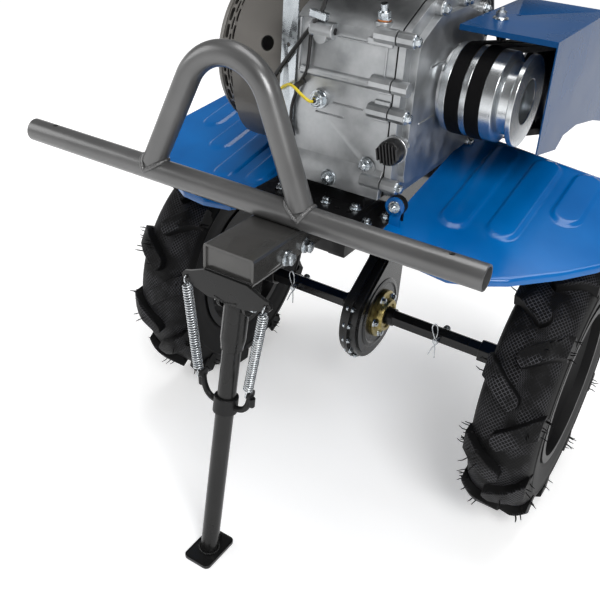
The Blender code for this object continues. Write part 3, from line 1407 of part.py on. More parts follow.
def make_mudguard(name, parent, side):
    """Pressed sheet with a turned-down front lip, a cut-off outer corner and long ribs."""
    inner = FRAME_OFFSET + side * (DECK_WIDTH / 2 + GAP + 0.0005)
    outer = inner + side * GUARD_WIDTH
    ends = sorted((inner, outer))
    sheet = prism(guard_section(), ends[0], ends[1])
    lip_z = guard_line(GUARD_FRONT)
    lip = block((ends[0], GUARD_FRONT, lip_z - GUARD_LIP), (ends[1], GUARD_FRONT + GUARD_SHEET, lip_z + GUARD_SHEET * 0.9))
    solids = [sheet, lip]
    pitch = (GUARD_WIDTH - 0.050) / RIB_COUNT
    for index in range(RIB_COUNT):
        x = inner + side * (0.052 + pitch * index)
        front = GUARD_FRONT + 0.115 + 0.035 * index
        back = GUARD_FOLD - 0.020
        outline = [(x - RIB_WIDTH / 2, back)]
        for step in range(7):
            turn = math.pi + math.pi * step / 6
            outline.append((x + RIB_WIDTH / 2 * math.cos(turn), front + RIB_WIDTH / 2 * math.sin(turn)))
        outline.append((x + RIB_WIDTH / 2, back))
        rib = prism(outline, -0.001, RIB_RISE, "XY")
        slope = math.tan(math.radians(GUARD_SLOPE))
        for vert in rib.data.vertices:
            vert.co.z += GUARD_HEIGHT + GUARD_SHEET + slope * vert.co.y
        solids.append(rib)
    tab_y = -0.168
    tab_ends = sorted((inner, inner + side * 0.003))
    tab = block((tab_ends[0], tab_y - 0.015, guard_line(tab_y) - 0.022), (tab_ends[1], tab_y + 0.015, guard_line(tab_y) + 0.016))
    solids.append(tab)
    corner = [
        (outer + side * 0.01, GUARD_FRONT - 0.01), (outer - side * GUARD_CHAMFER, GUARD_FRONT - 0.01),
        (outer - side * GUARD_CHAMFER, GUARD_FRONT), (outer, GUARD_FRONT + GUARD_CHAMFER * 0.86),
        (outer + side * 0.01, GUARD_FRONT + GUARD_CHAMFER * 0.86),
    ]
    cut = prism(corner, 0.3, 0.8, "XY")
    hole = round_bar(0.0045, inner - 0.02, inner + 0.02, "X", (0, tab_y, guard_line(tab_y) - 0.010))
    return fuse(name, PAINT_BLUE, solids, [cut, hole], parent, smooth=25)


# Upper engine parts

def make_fuel_tank(parent):
    centre_x = (CASE_LEFT + CASE_RIGHT) / 2 - 0.048
    low = tank_bottom()
    body = block((centre_x - TANK_LENGTH / 2, CRANK_Y - TANK_DEPTH / 2 - 0.005, low),
                 (centre_x + TANK_LENGTH / 2, CRANK_Y + TANK_DEPTH / 2 - 0.005, low + TANK_HEIGHT), 0.026, 1)
    neck_spot = tank_neck()
    neck = round_bar(0.026, -0.006, 0.006, "Z", neck_spot)
    bore = round_bar(0.019, -0.020, 0.02, "Z", neck_spot)
    return fuse("fuel_tank", PAINT_BLACK, [body, neck], [bore], parent, smooth=35)


def tank_bottom():
    return CRANK_Z + 0.122 + TANK_LIFT


def tank_neck():
    centre_x = (CASE_LEFT + CASE_RIGHT) / 2 - 0.048
    return (centre_x + 0.055, CRANK_Y - 0.030, tank_bottom() + TANK_HEIGHT)


def make_fuel_cap(parent):
    x, y, z = tank_neck()
    spot = (x, y, z + 0.006 + GAP)
    points = []
    teeth = 12
    for step in range(teeth * 2):
        turn = math.pi * step / teeth
        radius = 0.031 if step % 2 else 0.029
        points.append((x + radius * math.cos(turn), y + radius * math.sin(turn)))
    head = prism(points, spot[2], spot[2] + 0.016, "XY")
    plug = round_bar(0.0185, -0.012, 0.002, "Z", spot)
    return fuse("fuel_cap", PLASTIC, [head, plug], parent=parent, origin=spot, smooth=20)


def make_tank_bracket(parent):
    """Folded bracket that stands on the crankcase and carries the tank."""
    low = CRANK_Z + 0.122 + GAP
    high = tank_bottom() - GAP
    x0, x1 = CASE_RIGHT + 0.030, CASE_LEFT - 0.030
    y0, y1 = CRANK_Y - 0.072, CRANK_Y + 0.012
    foot = block((x0, y0, low), (x1, y1, low + 0.003))
    tray = block((x0 - 0.040, y0 - 0.010, high - 0.003), (x1 + 0.004, y1 + 0.040, high))
    web_a = block((x0, y0, low + 0.001), (x0 + 0.003, y1, high - 0.001))
    web_b = block((x1 - 0.003, y0, low + 0.001), (x1, y1, high - 0.001))
    return fuse("tank_bracket", PAINT_BLACK, [foot, tray, web_a, web_b], parent=parent)


def make_muffler(parent):
    """Pressed silencer beside the cylinder head, on its exhaust stub."""
    head = on_cylinder(0.172 + 0.030)
    z = head.z + 0.105
    body = block((CYLINDER_X - 0.030, head.y - 0.045, z - 0.038), (CYLINDER_X + 0.125, head.y + 0.060, z + 0.042), 0.014, 1)
    seam = block((CYLINDER_X + 0.045, head.y - 0.049, z - 0.042), (CYLINDER_X + 0.048, head.y + 0.064, z + 0.046))
    outlet = swept(bent_path([(CYLINDER_X + 0.100, head.y + 0.045, z), (CYLINDER_X + 0.100, head.y + 0.085, z),
                              (CYLINDER_X + 0.100, head.y + 0.105, z + 0.030)], 0.02, 3), 0.011, 10)
    tilt = math.radians(CYLINDER_TILT)
    stub = block((CYLINDER_X - 0.016, 0.172 + 0.022, 0.060 + GAP), (CYLINDER_X + 0.016, 0.172 + 0.046, 0.095), 0.0)
    moved(stub, Matrix.Translation((0, CRANK_Y, CRANK_Z)) @ Matrix.Rotation(tilt, 4, "X"))
    return fuse("muffler", EXHAUST_GREY, [body, seam, outlet, stub], parent=parent, smooth=35)


def make_air_cleaner(parent):
    """Air cleaner canister on its elbow beside the tank, over the blower housing."""
    head = on_cylinder(0.172 + 0.030)
    x = CYLINDER_X - 0.118
    spot = (x, head.y + 0.012, head.z + 0.072)
    profile = [(-0.040, 0.0), (0.062, 0.0), (0.062, 0.038), (0.056, 0.046), (0.014, 0.050),
               (-0.036, 0.046), (-0.040, 0.040)]
    can = turned(profile, "Z", spot, 20)
    knob = round_bar(0.008, 0.060, 0.074, "Z", spot)
    elbow = block((x + 0.030, head.y - 0.004, head.z + 0.036), (CYLINDER_X - 0.062 - GAP, head.y + 0.028, head.z + 0.062))
    return fuse("air_cleaner", PLASTIC, [can, knob, elbow], parent=parent, smooth=35)


# Handlebars and controls

def column_spot():
    return (FRAME_OFFSET, GEARBOX_REAR - 0.030, GEARBOX_TOP)


def hinge_spot():
    x, y, z = column_spot()
    return (x, y + 0.030, z + 0.070)


def make_swivel_head(parent):
    """Fork that turns on the base and holds the handlebars' toothed hinge."""
    x, y, z = column_spot()
    hx, hy, hz = hinge_spot()
    low = z + 0.0103
    drum = round_bar(0.030, low, z + 0.042, "Z", (x, y, 0))
    socket = round_bar(0.016 + FIT, 0.0, z + 0.034 + GAP, "Z", (x, y, 0))
    solids = [drum]
    gap_half = 0.016
    for side in (-1, 1):
        ends = sorted((x + side * (gap_half + GAP), x + side * (gap_half + GAP + 0.007)))
        cheek = [(y - 0.022, z + 0.020), (y + 0.028, z + 0.020)]
        for step in range(9):
            turn = math.pi * step / 8
            cheek.append((hy + 0.026 * math.cos(turn), hz + 0.026 * math.sin(turn)))
        solids.append(prism(cheek, ends[0], ends[1]))
    bolt = round_bar(0.006 + FIT, -0.1, 0.1, "X", (x, hy, hz))
    return fuse("swivel_head", PAINT_DARK, solids, [bolt, socket], parent, column_spot())


def bar_direction():
    hx, hy, hz = hinge_spot()
    return Vector((0, GRIP_Y - hy, GRIP_Z - hz)).normalized()


def make_handlebar(parent):
    """Hinge block, and two bent tubes that part behind it and end in the grips."""
    hx, hy, hz = hinge_spot()
    half = 0.016 - GAP
    hinge = round_bar(0.024, -half, half, "X", (hx, hy, hz))
    stem_end = Vector((hx, hy, hz)) + bar_direction() * 0.085
    stem = prism([(hy - 0.004, hz + 0.020), (hy + 0.010, hz - 0.018), (stem_end.y + 0.010, stem_end.z - 0.016),
                  (stem_end.y - 0.006, stem_end.z + 0.018)], hx - half + 0.003, hx + half - 0.003)
    solids = [hinge, stem]
    cross_y, cross_z = stem_end.y, stem_end.z
    span = BAR_SPREAD / 2
    solids.append(swept([(hx - span * 0.42, cross_y, cross_z), (hx + span * 0.42, cross_y, cross_z)], BAR_TUBE + 0.001, 12))
    for side in (-1, 1):
        start = Vector((hx + side * span * 0.40, cross_y, cross_z))
        rise = start + bar_direction() * 0.02 + Vector((side * 0.030, 0, 0))
        bend = Vector((hx + side * GRIP_SPREAD / 2, GRIP_Y - GRIP_LENGTH - CLAMP_ROOM, GRIP_Z))
        grip_end = Vector((hx + side * GRIP_SPREAD / 2, GRIP_Y - 0.006, GRIP_Z))
        path = bent_path([start, rise, bend, grip_end], 0.09, 3)
        solids.append(swept(path, BAR_TUBE, 10))
    bolt = round_bar(0.006 + FIT, -0.1, 0.1, "X", (hx, hy, hz))
    return fuse("handlebar", PAINT_DARK, solids, [bolt], parent, hinge_spot())


def make_grip(name, parent, side):
    """Moulded grip pushed over the tube's end, with finger rings."""
    hx = hinge_spot()[0]
    x = hx + side * GRIP_SPREAD / 2
    low = GRIP_Y - GRIP_LENGTH + 0.004
    inner = BAR_TUBE + GAP
    profile = [(low, inner), (low, GRIP_RADIUS + 0.004), (low + 0.005, GRIP_RADIUS + 0.004)]
    rings = 3
    span = GRIP_LENGTH - 0.020
    for index in range(rings):
        start = low + 0.008 + span * index / rings
        profile += [(start, GRIP_RADIUS - 0.001), (start + span / rings * 0.5, GRIP_RADIUS + 0.0008)]
    profile += [(GRIP_Y + 0.002, GRIP_RADIUS - 0.001), (GRIP_Y + 0.002, 0.0),
                (GRIP_Y - 0.0057, 0.0), (GRIP_Y - 0.0057, inner)]
    return fuse(name, RUBBER, [turned(profile, "Y", (x, 0, GRIP_Z))], parent=parent)


def lever_spot(side):
    hx = hinge_spot()[0]
    return (hx + side * GRIP_SPREAD / 2, GRIP_Y - GRIP_LENGTH - 0.018, GRIP_Z)


def make_lever_clamp(name, parent, side):
    """Two-piece clamp on the tube with the lug that a hand lever hinges on."""
    x, y, tube_z = lever_spot(side)
    inner = (BAR_TUBE + GAP) / math.cos(math.pi / 16)
    ring = ring_bar(BAR_TUBE + 0.0045, inner, -0.009, 0.009, "Y", (x, y, tube_z), 16)
    lug = block((x - 0.006, y - 0.008, tube_z - 0.036), (x + 0.006, y + 0.008, tube_z - BAR_TUBE - 0.002))
    slot = block((x - 0.0031, y - 0.02, tube_z - 0.05), (x + 0.0031, y + 0.02, tube_z - 0.0215))
    bore = round_bar(0.0025 + GAP, -0.05, 0.05, "X", (x, y, tube_z - 0.029))
    return fuse(name, PAINT_BLACK, [ring, lug], [slot, bore], parent)


def lever_pin(side):
    x, y, z = lever_spot(side)
    return (x, y, z - 0.029)


def make_hand_lever(name, parent, side, finish):
    spot = lever_pin(side)
    x, y, pin_z = spot
    half = 0.0028
    boss = round_bar(0.0068, -half, half, "X", spot)
    blade = [(y, pin_z + 0.004), (y + 0.040, pin_z - 0.012), (y + 0.130, pin_z - 0.020), (y + 0.132, pin_z - 0.030),
             (y + 0.040, pin_z - 0.024), (y - 0.003, pin_z - 0.006)]
    arm = prism(blade, x - half, x + half)
    pin = round_bar(0.0025, -0.0095, 0.0095, "X", spot)
    return fuse(name, finish, [boss, arm, pin], parent=parent, origin=spot)


def make_gear_lever(parent):
    x = FRAME_OFFSET
    y = gear_lever_y()
    z = GEARBOX_TOP - 0.006
    spot = (x, y, z)
    top = (x - 0.080, y + 0.014, z + 0.200)
    rod = swept(bent_path([(x, y, z), (x, y, z + 0.030), (x - 0.080, y + 0.006, z + 0.060), top], 0.03, 3), 0.006, 8)
    ball_profile = [(-LEVER_BALL * math.cos(math.pi * s / 6), LEVER_BALL * math.sin(math.pi * s / 6))
                    for s in range(7)]
    ball = turned(ball_profile, "Z", spot, 8)
    knob_spot = (top[0], top[1], top[2] + 0.008)
    knob_profile = [(0.016 * -math.cos(math.pi * s / 6), 0.016 * math.sin(math.pi * s / 6)) for s in range(7)]
    knob = turned(knob_profile, "Z", knob_spot, 12)
    return fuse("gear_lever", PAINT_BLACK, [ball, rod, knob], parent=parent, origin=spot)


def make_idler_arm(parent):
    """Belt tensioner: arm on the gearbox boss with a roller above the slack run."""
    spot = idler_pivot()
    x = spot[0]
    hub = round_bar(0.013, -0.006, 0.006, "X", spot)
    wheel = idler_centre()
    outline = arm_outline(spot, wheel, 0.011, 0.009)
    arm = prism(outline, x - 0.003, x + 0.003)
    axle = round_bar(0.005, x - 0.002, groove_centres()[1] + 0.012, "X", (0, wheel.y, wheel.z))
    clear = round_bar(0.006 + FIT, -0.05, 0.05, "X", spot)
    return fuse("idler_arm", ZINC, [hub, arm, axle], [clear], parent, spot)


def arm_outline(spot, wheel, first, second):
    a = Vector((spot[1], spot[2]))
    b = Vector((wheel.y, wheel.z))
    along = (b - a).normalized()
    start = math.atan2(along.x, -along.y)
    points = []
    for step in range(7):
        turn = start + math.pi * step / 6
        points.append((a.x + first * math.cos(turn), a.y + first * math.sin(turn)))
    for step in range(7):
        turn = start + math.pi + math.pi * step / 6
        points.append((b.x + second * math.cos(turn), b.y + second * math.sin(turn)))
    return points


def idler_pivot():
    x = groove_centres()[0] - BELT_WIDTH / 2 - 0.014
    return (x, GEARBOX_SHOULDER + 0.050, GEARBOX_TOP - 0.030)


def idler_centre():
    """Roller held just above the upper belt run while the clutch is open."""
    spot = idler_pivot()
    upper = belt_outline(BELT_PROUD)
    y = spot[1] - IDLER_REACH
    front = upper[0]
    back = upper[-1]
    share = (y - front[0]) / (back[0] - front[0])
    run_z = front[1] + (back[1] - front[1]) * share
    lean = math.atan2(back[1] - front[1], back[0] - front[0])
    return Vector((spot[0], y, run_z + (IDLER_RADIUS + IDLER_LIFT) / math.cos(lean)))


def make_idler_roller(parent):
    wheel = idler_centre()
    centres = groove_centres()
    low = centres[0] - BELT_WIDTH / 2 - 0.001
    high = centres[1] + BELT_WIDTH / 2 + 0.001
    profile = [(low, 0.005 + GAP), (low, IDLER_RADIUS), (high, IDLER_RADIUS), (high, 0.005 + GAP)]
    spot = (0, wheel.y, wheel.z)
    return fuse("idler_roller", MACHINED, [turned(profile, "X", spot)], parent=parent, origin=spot)


def hitch_height():
    return GEARBOX_BOTTOM + 0.140


def gear_lever_y():
    return GEARBOX_SHOULDER + 0.063


def make_hitch(parent):
    """Rear drawbar socket under the gearbox, with the drop pin's hole."""
    x = FRAME_OFFSET
    y = GEARBOX_REAR + GAP
    z = hitch_height()
    flange = block((x - 0.045, y, z - 0.050), (x + 0.045, y + 0.010, z + 0.040), 0.002)
    fork_top = block((x - 0.032, y + 0.008, z + 0.012), (x + 0.032, y + 0.082, z + 0.022), 0.002)
    fork_low = block((x - 0.032, y + 0.008, z - 0.030), (x + 0.032, y + 0.082, z - 0.020), 0.002)
    hole = round_bar(0.0085 + FIT, -0.1, 0.1, "Z", (x, y + 0.058, z))
    return fuse("hitch_bracket", PAINT_BLACK, [flange, fork_top, fork_low], [hole], parent)


def make_hitch_drop_pin(parent):
    x = FRAME_OFFSET
    y = GEARBOX_REAR + GAP + 0.058
    z = hitch_height()
    spot = (x, y, z)
    shank = round_bar(0.0085, -0.045, 0.034, "Z", spot)
    seat = round_bar(0.013, 0.0223, 0.028, "Z", spot)
    handle = swept([(x - 0.022, y, z + 0.034), (x + 0.022, y, z + 0.034)], 0.005, 10)
    return fuse("hitch_pin", ZINC, [shank, seat, handle], parent=parent, origin=spot)


def machine_shift():
    """Moves the machine so that the middle of its extents is over the origin."""
    wheel_out = TRACK / 2 + TYRE_WIDTH / 2 * 1.02
    guard_inner = FRAME_OFFSET + DECK_WIDTH / 2 + GAP + 0.0005
    left = max(wheel_out, guard_inner + GUARD_WIDTH, TRACK / 2 + AXLE_TIP)
    right = min(BUMPER_OFFSET - BUMPER_LENGTH / 2, 2 * FRAME_OFFSET - guard_inner - GUARD_WIDTH)
    front = STAND_PIVOT_Y - LEG_LEAN - FOOT_LENGTH / 2
    rear = GRIP_Y + 0.002
    return (-(left + right) / 2, -(front + rear) / 2, 0)


def build():
    clear_scene()
    machine = pivot("machine", (0, 0, 0))
    stand = pivot("stand_turn", tuple(leg_line()[0]), machine)
    axle = pivot("axle_turn", (0, 0, TYRE_RADIUS), machine)
    crank = pivot("crank_turn", (0, CRANK_Y, CRANK_Z), machine)
    driven = pivot("driven_turn", (0, DRIVEN_Y, DRIVEN_Z), machine)
    swivel = pivot("swivel_turn", column_spot(), machine)
    height = pivot("height_turn", hinge_spot(), swivel)
    idler = pivot("idler_turn", idler_pivot(), machine)

    for side, label in ((1, "left"), (-1, "right")):
        wheel_x = side * TRACK / 2
        make_tyre("tyre_" + label, axle, wheel_x)
        make_rim("rim_" + label, axle, wheel_x, side)
        make_hub("hub_" + label, axle, wheel_x, side)
        make_axle_flange("axle_flange_" + label, machine, side)
        make_mudguard("mudguard_" + label, machine, side)
        make_spring("stand_spring_" + label, stand, side)
        make_grip("grip_" + label, height, side)
    make_axle(axle)
    make_chain_case(machine)
    make_gearbox(machine)
    make_frame(machine)
    make_front_bracket(machine)
    make_bumper(machine)
    make_stand_bracket(machine)
    make_stand_leg(stand)
    make_stand_collar(stand)
    cheek = SLEEVE_RADIUS + 2 * GAP + CHEEK_THICKNESS
    hex_bolt("stand_pivot_bolt", machine, tuple(leg_line()[0]), -cheek, cheek, STAND_BOLT_RADIUS)

    make_crankcase(machine)
    make_gasket(machine)
    make_crankcase_cover(machine)
    make_filler_cap(machine)
    make_oil_sender(machine)
    make_sender_wire(machine)
    make_control_plate(machine)
    make_throttle_cable(machine)
    make_head(machine)
    make_rocker_cover(machine)
    make_fan_shroud(machine)
    make_recoil_cover(machine)
    make_starter_grip(machine)
    make_crankshaft(crank)
    make_flywheel(crank)
    make_engine_pulley(crank)
    make_fuel_tank(machine)
    make_fuel_cap(machine)
    make_tank_bracket(machine)
    make_muffler(machine)
    make_air_cleaner(machine)

    make_driven_pulley(driven)
    make_input_shaft(driven)
    for label, x in zip(("inner", "outer"), groove_centres()):
        make_belt("belt_" + label, machine, x)
    make_belt_cover(machine)
    make_cover_stay(machine)
    make_idler_arm(idler)
    make_idler_roller(idler)

    make_swivel_head(swivel)
    make_handlebar(height)
    make_lever_clamp("clutch_clamp", height, 1)
    lever = pivot("clutch_turn", lever_pin(1), height)
    make_hand_lever("clutch_lever", lever, 1, PAINT_BLACK)
    make_gear_lever(machine)
    make_hitch(machine)
    make_hitch_drop_pin(machine)
    machine.location = machine_shift()


build()
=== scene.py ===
import json
import math
import random

import bmesh
import bpy
from mathutils import Matrix, Vector
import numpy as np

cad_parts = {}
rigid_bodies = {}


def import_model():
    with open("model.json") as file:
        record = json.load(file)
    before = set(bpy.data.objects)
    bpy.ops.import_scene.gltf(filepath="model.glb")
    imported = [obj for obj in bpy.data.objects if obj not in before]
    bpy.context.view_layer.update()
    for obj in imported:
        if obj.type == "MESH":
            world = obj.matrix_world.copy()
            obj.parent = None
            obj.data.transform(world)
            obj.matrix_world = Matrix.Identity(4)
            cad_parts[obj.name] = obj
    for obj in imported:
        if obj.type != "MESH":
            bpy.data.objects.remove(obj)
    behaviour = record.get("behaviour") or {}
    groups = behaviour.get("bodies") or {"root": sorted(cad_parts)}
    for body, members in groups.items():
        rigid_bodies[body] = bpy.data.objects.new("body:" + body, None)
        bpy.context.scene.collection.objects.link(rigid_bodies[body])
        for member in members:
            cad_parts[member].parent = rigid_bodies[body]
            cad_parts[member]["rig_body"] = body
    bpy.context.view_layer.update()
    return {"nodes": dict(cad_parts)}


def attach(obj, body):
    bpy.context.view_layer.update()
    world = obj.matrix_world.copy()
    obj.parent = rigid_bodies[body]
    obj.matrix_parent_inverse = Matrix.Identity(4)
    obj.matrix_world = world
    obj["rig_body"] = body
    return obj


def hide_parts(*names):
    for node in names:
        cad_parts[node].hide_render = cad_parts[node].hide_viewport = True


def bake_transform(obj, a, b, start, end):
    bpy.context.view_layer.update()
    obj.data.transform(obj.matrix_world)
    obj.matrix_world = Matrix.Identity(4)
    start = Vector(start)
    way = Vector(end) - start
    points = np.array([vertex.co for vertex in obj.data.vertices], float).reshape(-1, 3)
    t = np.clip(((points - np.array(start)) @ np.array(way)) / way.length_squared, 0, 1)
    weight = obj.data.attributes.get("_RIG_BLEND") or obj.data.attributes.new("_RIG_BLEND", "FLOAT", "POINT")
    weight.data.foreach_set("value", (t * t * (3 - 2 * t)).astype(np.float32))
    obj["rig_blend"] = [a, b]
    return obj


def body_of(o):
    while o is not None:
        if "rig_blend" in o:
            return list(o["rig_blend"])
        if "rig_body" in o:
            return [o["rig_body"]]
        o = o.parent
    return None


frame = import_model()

cadNodes = frame["nodes"]

# Pieces are modelled in machine coordinates: x from the middle between the wheels, y from the
# wheels' axle towards the handlebars, z from the floor. shift brings them over the CAD's origin.
shift = Vector((0.0516, -0.2695, 0.0))
rng = random.Random(7)


# Materials

def linearColour(code):
    # sRGB hex to the linear values that the shader sockets take
    out = []
    for start in (1, 3, 5):
        part = int(code[start:start + 2], 16) / 255
        out.append(part / 12.92 if part <= 0.04045 else ((part + 0.055) / 1.055) ** 2.4)
    return (*out, 1.0)


def addNode(tree, kind, settings=None, inputs=None):
    node = tree.nodes.new(kind)
    for name, value in (settings or {}).items():
        setattr(node, name, value)
    for name, value in (inputs or {}).items():
        if isinstance(value, bpy.types.NodeSocket):
            tree.links.new(value, node.inputs[name])
        else:
            node.inputs[name].default_value = value
    return node


def objectPlace(tree):
    return addNode(tree, "ShaderNodeTexCoord").outputs["Object"]


def maths(tree, operation, *values):
    # One step of arithmetic on numbers or sockets
    return addNode(tree, "ShaderNodeMath", {"operation": operation}, dict(enumerate(values))).outputs[0]


def ranged(tree, value, low, high, newLow=0.0, newHigh=1.0):
    # A value carried from one range to another and held within it
    return addNode(tree, "ShaderNodeMapRange", None,
                   {"Value": value, "From Min": low, "From Max": high,
                    "To Min": newLow, "To Max": newHigh}).outputs["Result"]


def cloud(tree, place, scale, detail):
    return addNode(tree, "ShaderNodeTexNoise", None,
                   {"Vector": place, "Scale": scale, "Detail": detail}).outputs["Fac"]


def tinted(tree, factor, dark, light):
    # Colour between two hex codes
    tint = addNode(tree, "ShaderNodeMix", {"data_type": "RGBA"}, {"Factor": factor})
    tint.inputs[6].default_value = linearColour(dark)
    tint.inputs[7].default_value = linearColour(light)
    return tint.outputs[2]


def relief(tree, shader, height, strength, distance):
    bump = addNode(tree, "ShaderNodeBump", None,
                   {"Height": height, "Strength": strength, "Distance": distance})
    tree.links.new(bump.outputs["Normal"], shader.inputs["Normal"])


def newMaterial(name, colour, metallic, roughness, sockets=None):
    made = bpy.data.materials.new(name)
    made.use_nodes = True
    shader = made.node_tree.nodes["Principled BSDF"]
    shader.inputs["Base Color"].default_value = linearColour(colour)
    shader.inputs["Metallic"].default_value = metallic
    shader.inputs["Roughness"].default_value = roughness
    for socket, value in (sockets or {}).items():
        shader.inputs[socket].default_value = value
    return made, made.node_tree, shader


def mottle(tree, shader, place, scale, dark, light, low, high, detail=4.0):
    # Noise that wanders between two colours and two roughnesses
    noise = cloud(tree, place, scale, detail)
    tint = tinted(tree, ranged(tree, noise, 0.3, 0.7), dark, light)
    tree.links.new(tint, shader.inputs["Base Color"])
    tree.links.new(ranged(tree, noise, 0.3, 0.7, low, high), shader.inputs["Roughness"])
    return tint


def grain(tree, shader, place, scale, depth, distance, detail=3.0):
    # Fine relief, as from sand, shot or spray
    relief(tree, shader, cloud(tree, place, scale, detail), depth, distance)


def sprayedPaint(name, dark, light, roughness, metallic, coat, peel=0.1, gloss=0.35):
    # Sprayed enamel on steel: even colour, a clear sheen and a faint orange peel of about 2 mm
    made, tree, shader = newMaterial(name, light, metallic, roughness, {
        "Coat Weight": coat, "Coat Roughness": 0.06, "Specular IOR Level": gloss})
    place = objectPlace(tree)
    mottle(tree, shader, place, 9.0, dark, light, roughness * 0.9, roughness * 1.2, 3.0)
    grain(tree, shader, place, 420.0, peel, 0.0006, 2.0)
    return made


def castMetal(name, dark, light, roughness):
    # Die-cast aluminium, tumbled: soft grey with a satin skin, pores of about 1 mm and cloudy tone
    made, tree, shader = newMaterial(name, light, 0.86, roughness)
    place = objectPlace(tree)
    tint = mottle(tree, shader, place, 34.0, dark, light, roughness * 0.78, roughness * 1.25, 6.0)
    second = addNode(tree, "ShaderNodeMix", {"data_type": "RGBA", "blend_type": "MULTIPLY"},
                     {"Factor": 0.35})
    tree.links.new(tint, second.inputs[6])
    tree.links.new(ranged(tree, cloud(tree, place, 11.0, 2.0), 0.3, 0.7, 0.86, 1.0), second.inputs[7])
    tree.links.new(second.outputs[2], shader.inputs["Base Color"])
    grain(tree, shader, place, 900.0, 0.32, 0.0005, 4.0)
    return made


def turnedMetal(name, dark, light, roughness, centre):
    # Metal faced on a lathe: fine rings round an axis along x, drawn 1.6 mm apart so that they show
    ringPitch = 0.0016
    made, tree, shader = newMaterial(name, light, 0.95, roughness)
    moved = addNode(tree, "ShaderNodeMapping", None,
                    {"Vector": objectPlace(tree), "Location": tuple(-(Vector(centre) + shift))})
    rings = addNode(tree, "ShaderNodeTexWave",
                    {"wave_type": "RINGS", "rings_direction": "X", "wave_profile": "SIN"},
                    {"Vector": moved.outputs["Vector"], "Scale": 0.314 / ringPitch, "Distortion": 0.6,
                     "Detail": 2.0, "Detail Scale": 2.0}).outputs["Fac"]
    tree.links.new(tinted(tree, rings, dark, light), shader.inputs["Base Color"])
    relief(tree, shader, rings, 0.1, 0.0003)
    return made


def platedSteel(name, dark, light, roughness):
    # Zinc plate on steel: bright, slightly blotched where the bath left it
    made, tree, shader = newMaterial(name, light, 1.0, roughness)
    place = objectPlace(tree)
    mottle(tree, shader, place, 120.0, dark, light, roughness * 0.7, roughness * 1.5)
    grain(tree, shader, place, 1500.0, 0.12, 0.0003)
    return made


def mouldedPlastic(name, dark, light, roughness, depth=0.15, gloss=0.4):
    # Moulded nylon, ABS or rubber: deep colour with a fine spark-eroded grain
    made, tree, shader = newMaterial(name, light, 0.0, roughness, {"Specular IOR Level": gloss})
    place = objectPlace(tree)
    mottle(tree, shader, place, 60.0, dark, light, roughness * 0.85, roughness * 1.15)
    grain(tree, shader, place, 1400.0, depth, 0.0004)
    return made


def treadRubber(name):
    # Near-black rubber with the tread's moulded cross-hatch, drawn by the UV map where the attribute
    # "hatch" is 1. One unit of u or v is one cell, a little coarser than the real one so that it shows.
    made, tree, shader = newMaterial(name, "#0d0d0e", 0.0, 0.58, {"Specular IOR Level": 0.14})
    place = addNode(tree, "ShaderNodeTexCoord")
    turn = addNode(tree, "ShaderNodeMapping", None,
                   {"Vector": place.outputs["UV"], "Rotation": (0.0, 0.0, math.radians(42))})
    parts = addNode(tree, "ShaderNodeSeparateXYZ", None, {"Vector": turn.outputs["Vector"]})
    waves = [maths(tree, "SINE", maths(tree, "MULTIPLY", parts.outputs[axis], 6.2832)) for axis in "XY"]
    line = ranged(tree, maths(tree, "MAXIMUM", *waves), 0.78, 1.0)
    mask = addNode(tree, "ShaderNodeAttribute", {"attribute_name": "hatch"}).outputs["Fac"]
    wear = ranged(tree, cloud(tree, place.outputs["Object"], 26.0, 3.0), 0.4, 0.56)
    part = addNode(tree, "ShaderNodeMath", {"operation": "MULTIPLY", "use_clamp": True},
                   {0: line, 1: mask}).outputs[0]
    tint = tinted(tree, maths(tree, "MULTIPLY", part, wear), "#0a0a0b", "#4c4c50")
    tree.links.new(tint, shader.inputs["Base Color"])
    fine = cloud(tree, place.outputs["Object"], 700.0, 2.0)
    relief(tree, shader, maths(tree, "MULTIPLY_ADD", fine, 0.25, part), 0.5, 0.0007)
    return made


crankCentre = (0.0, -0.05, 0.671)
drivenCentre = (0.0, 0.27, 0.605)
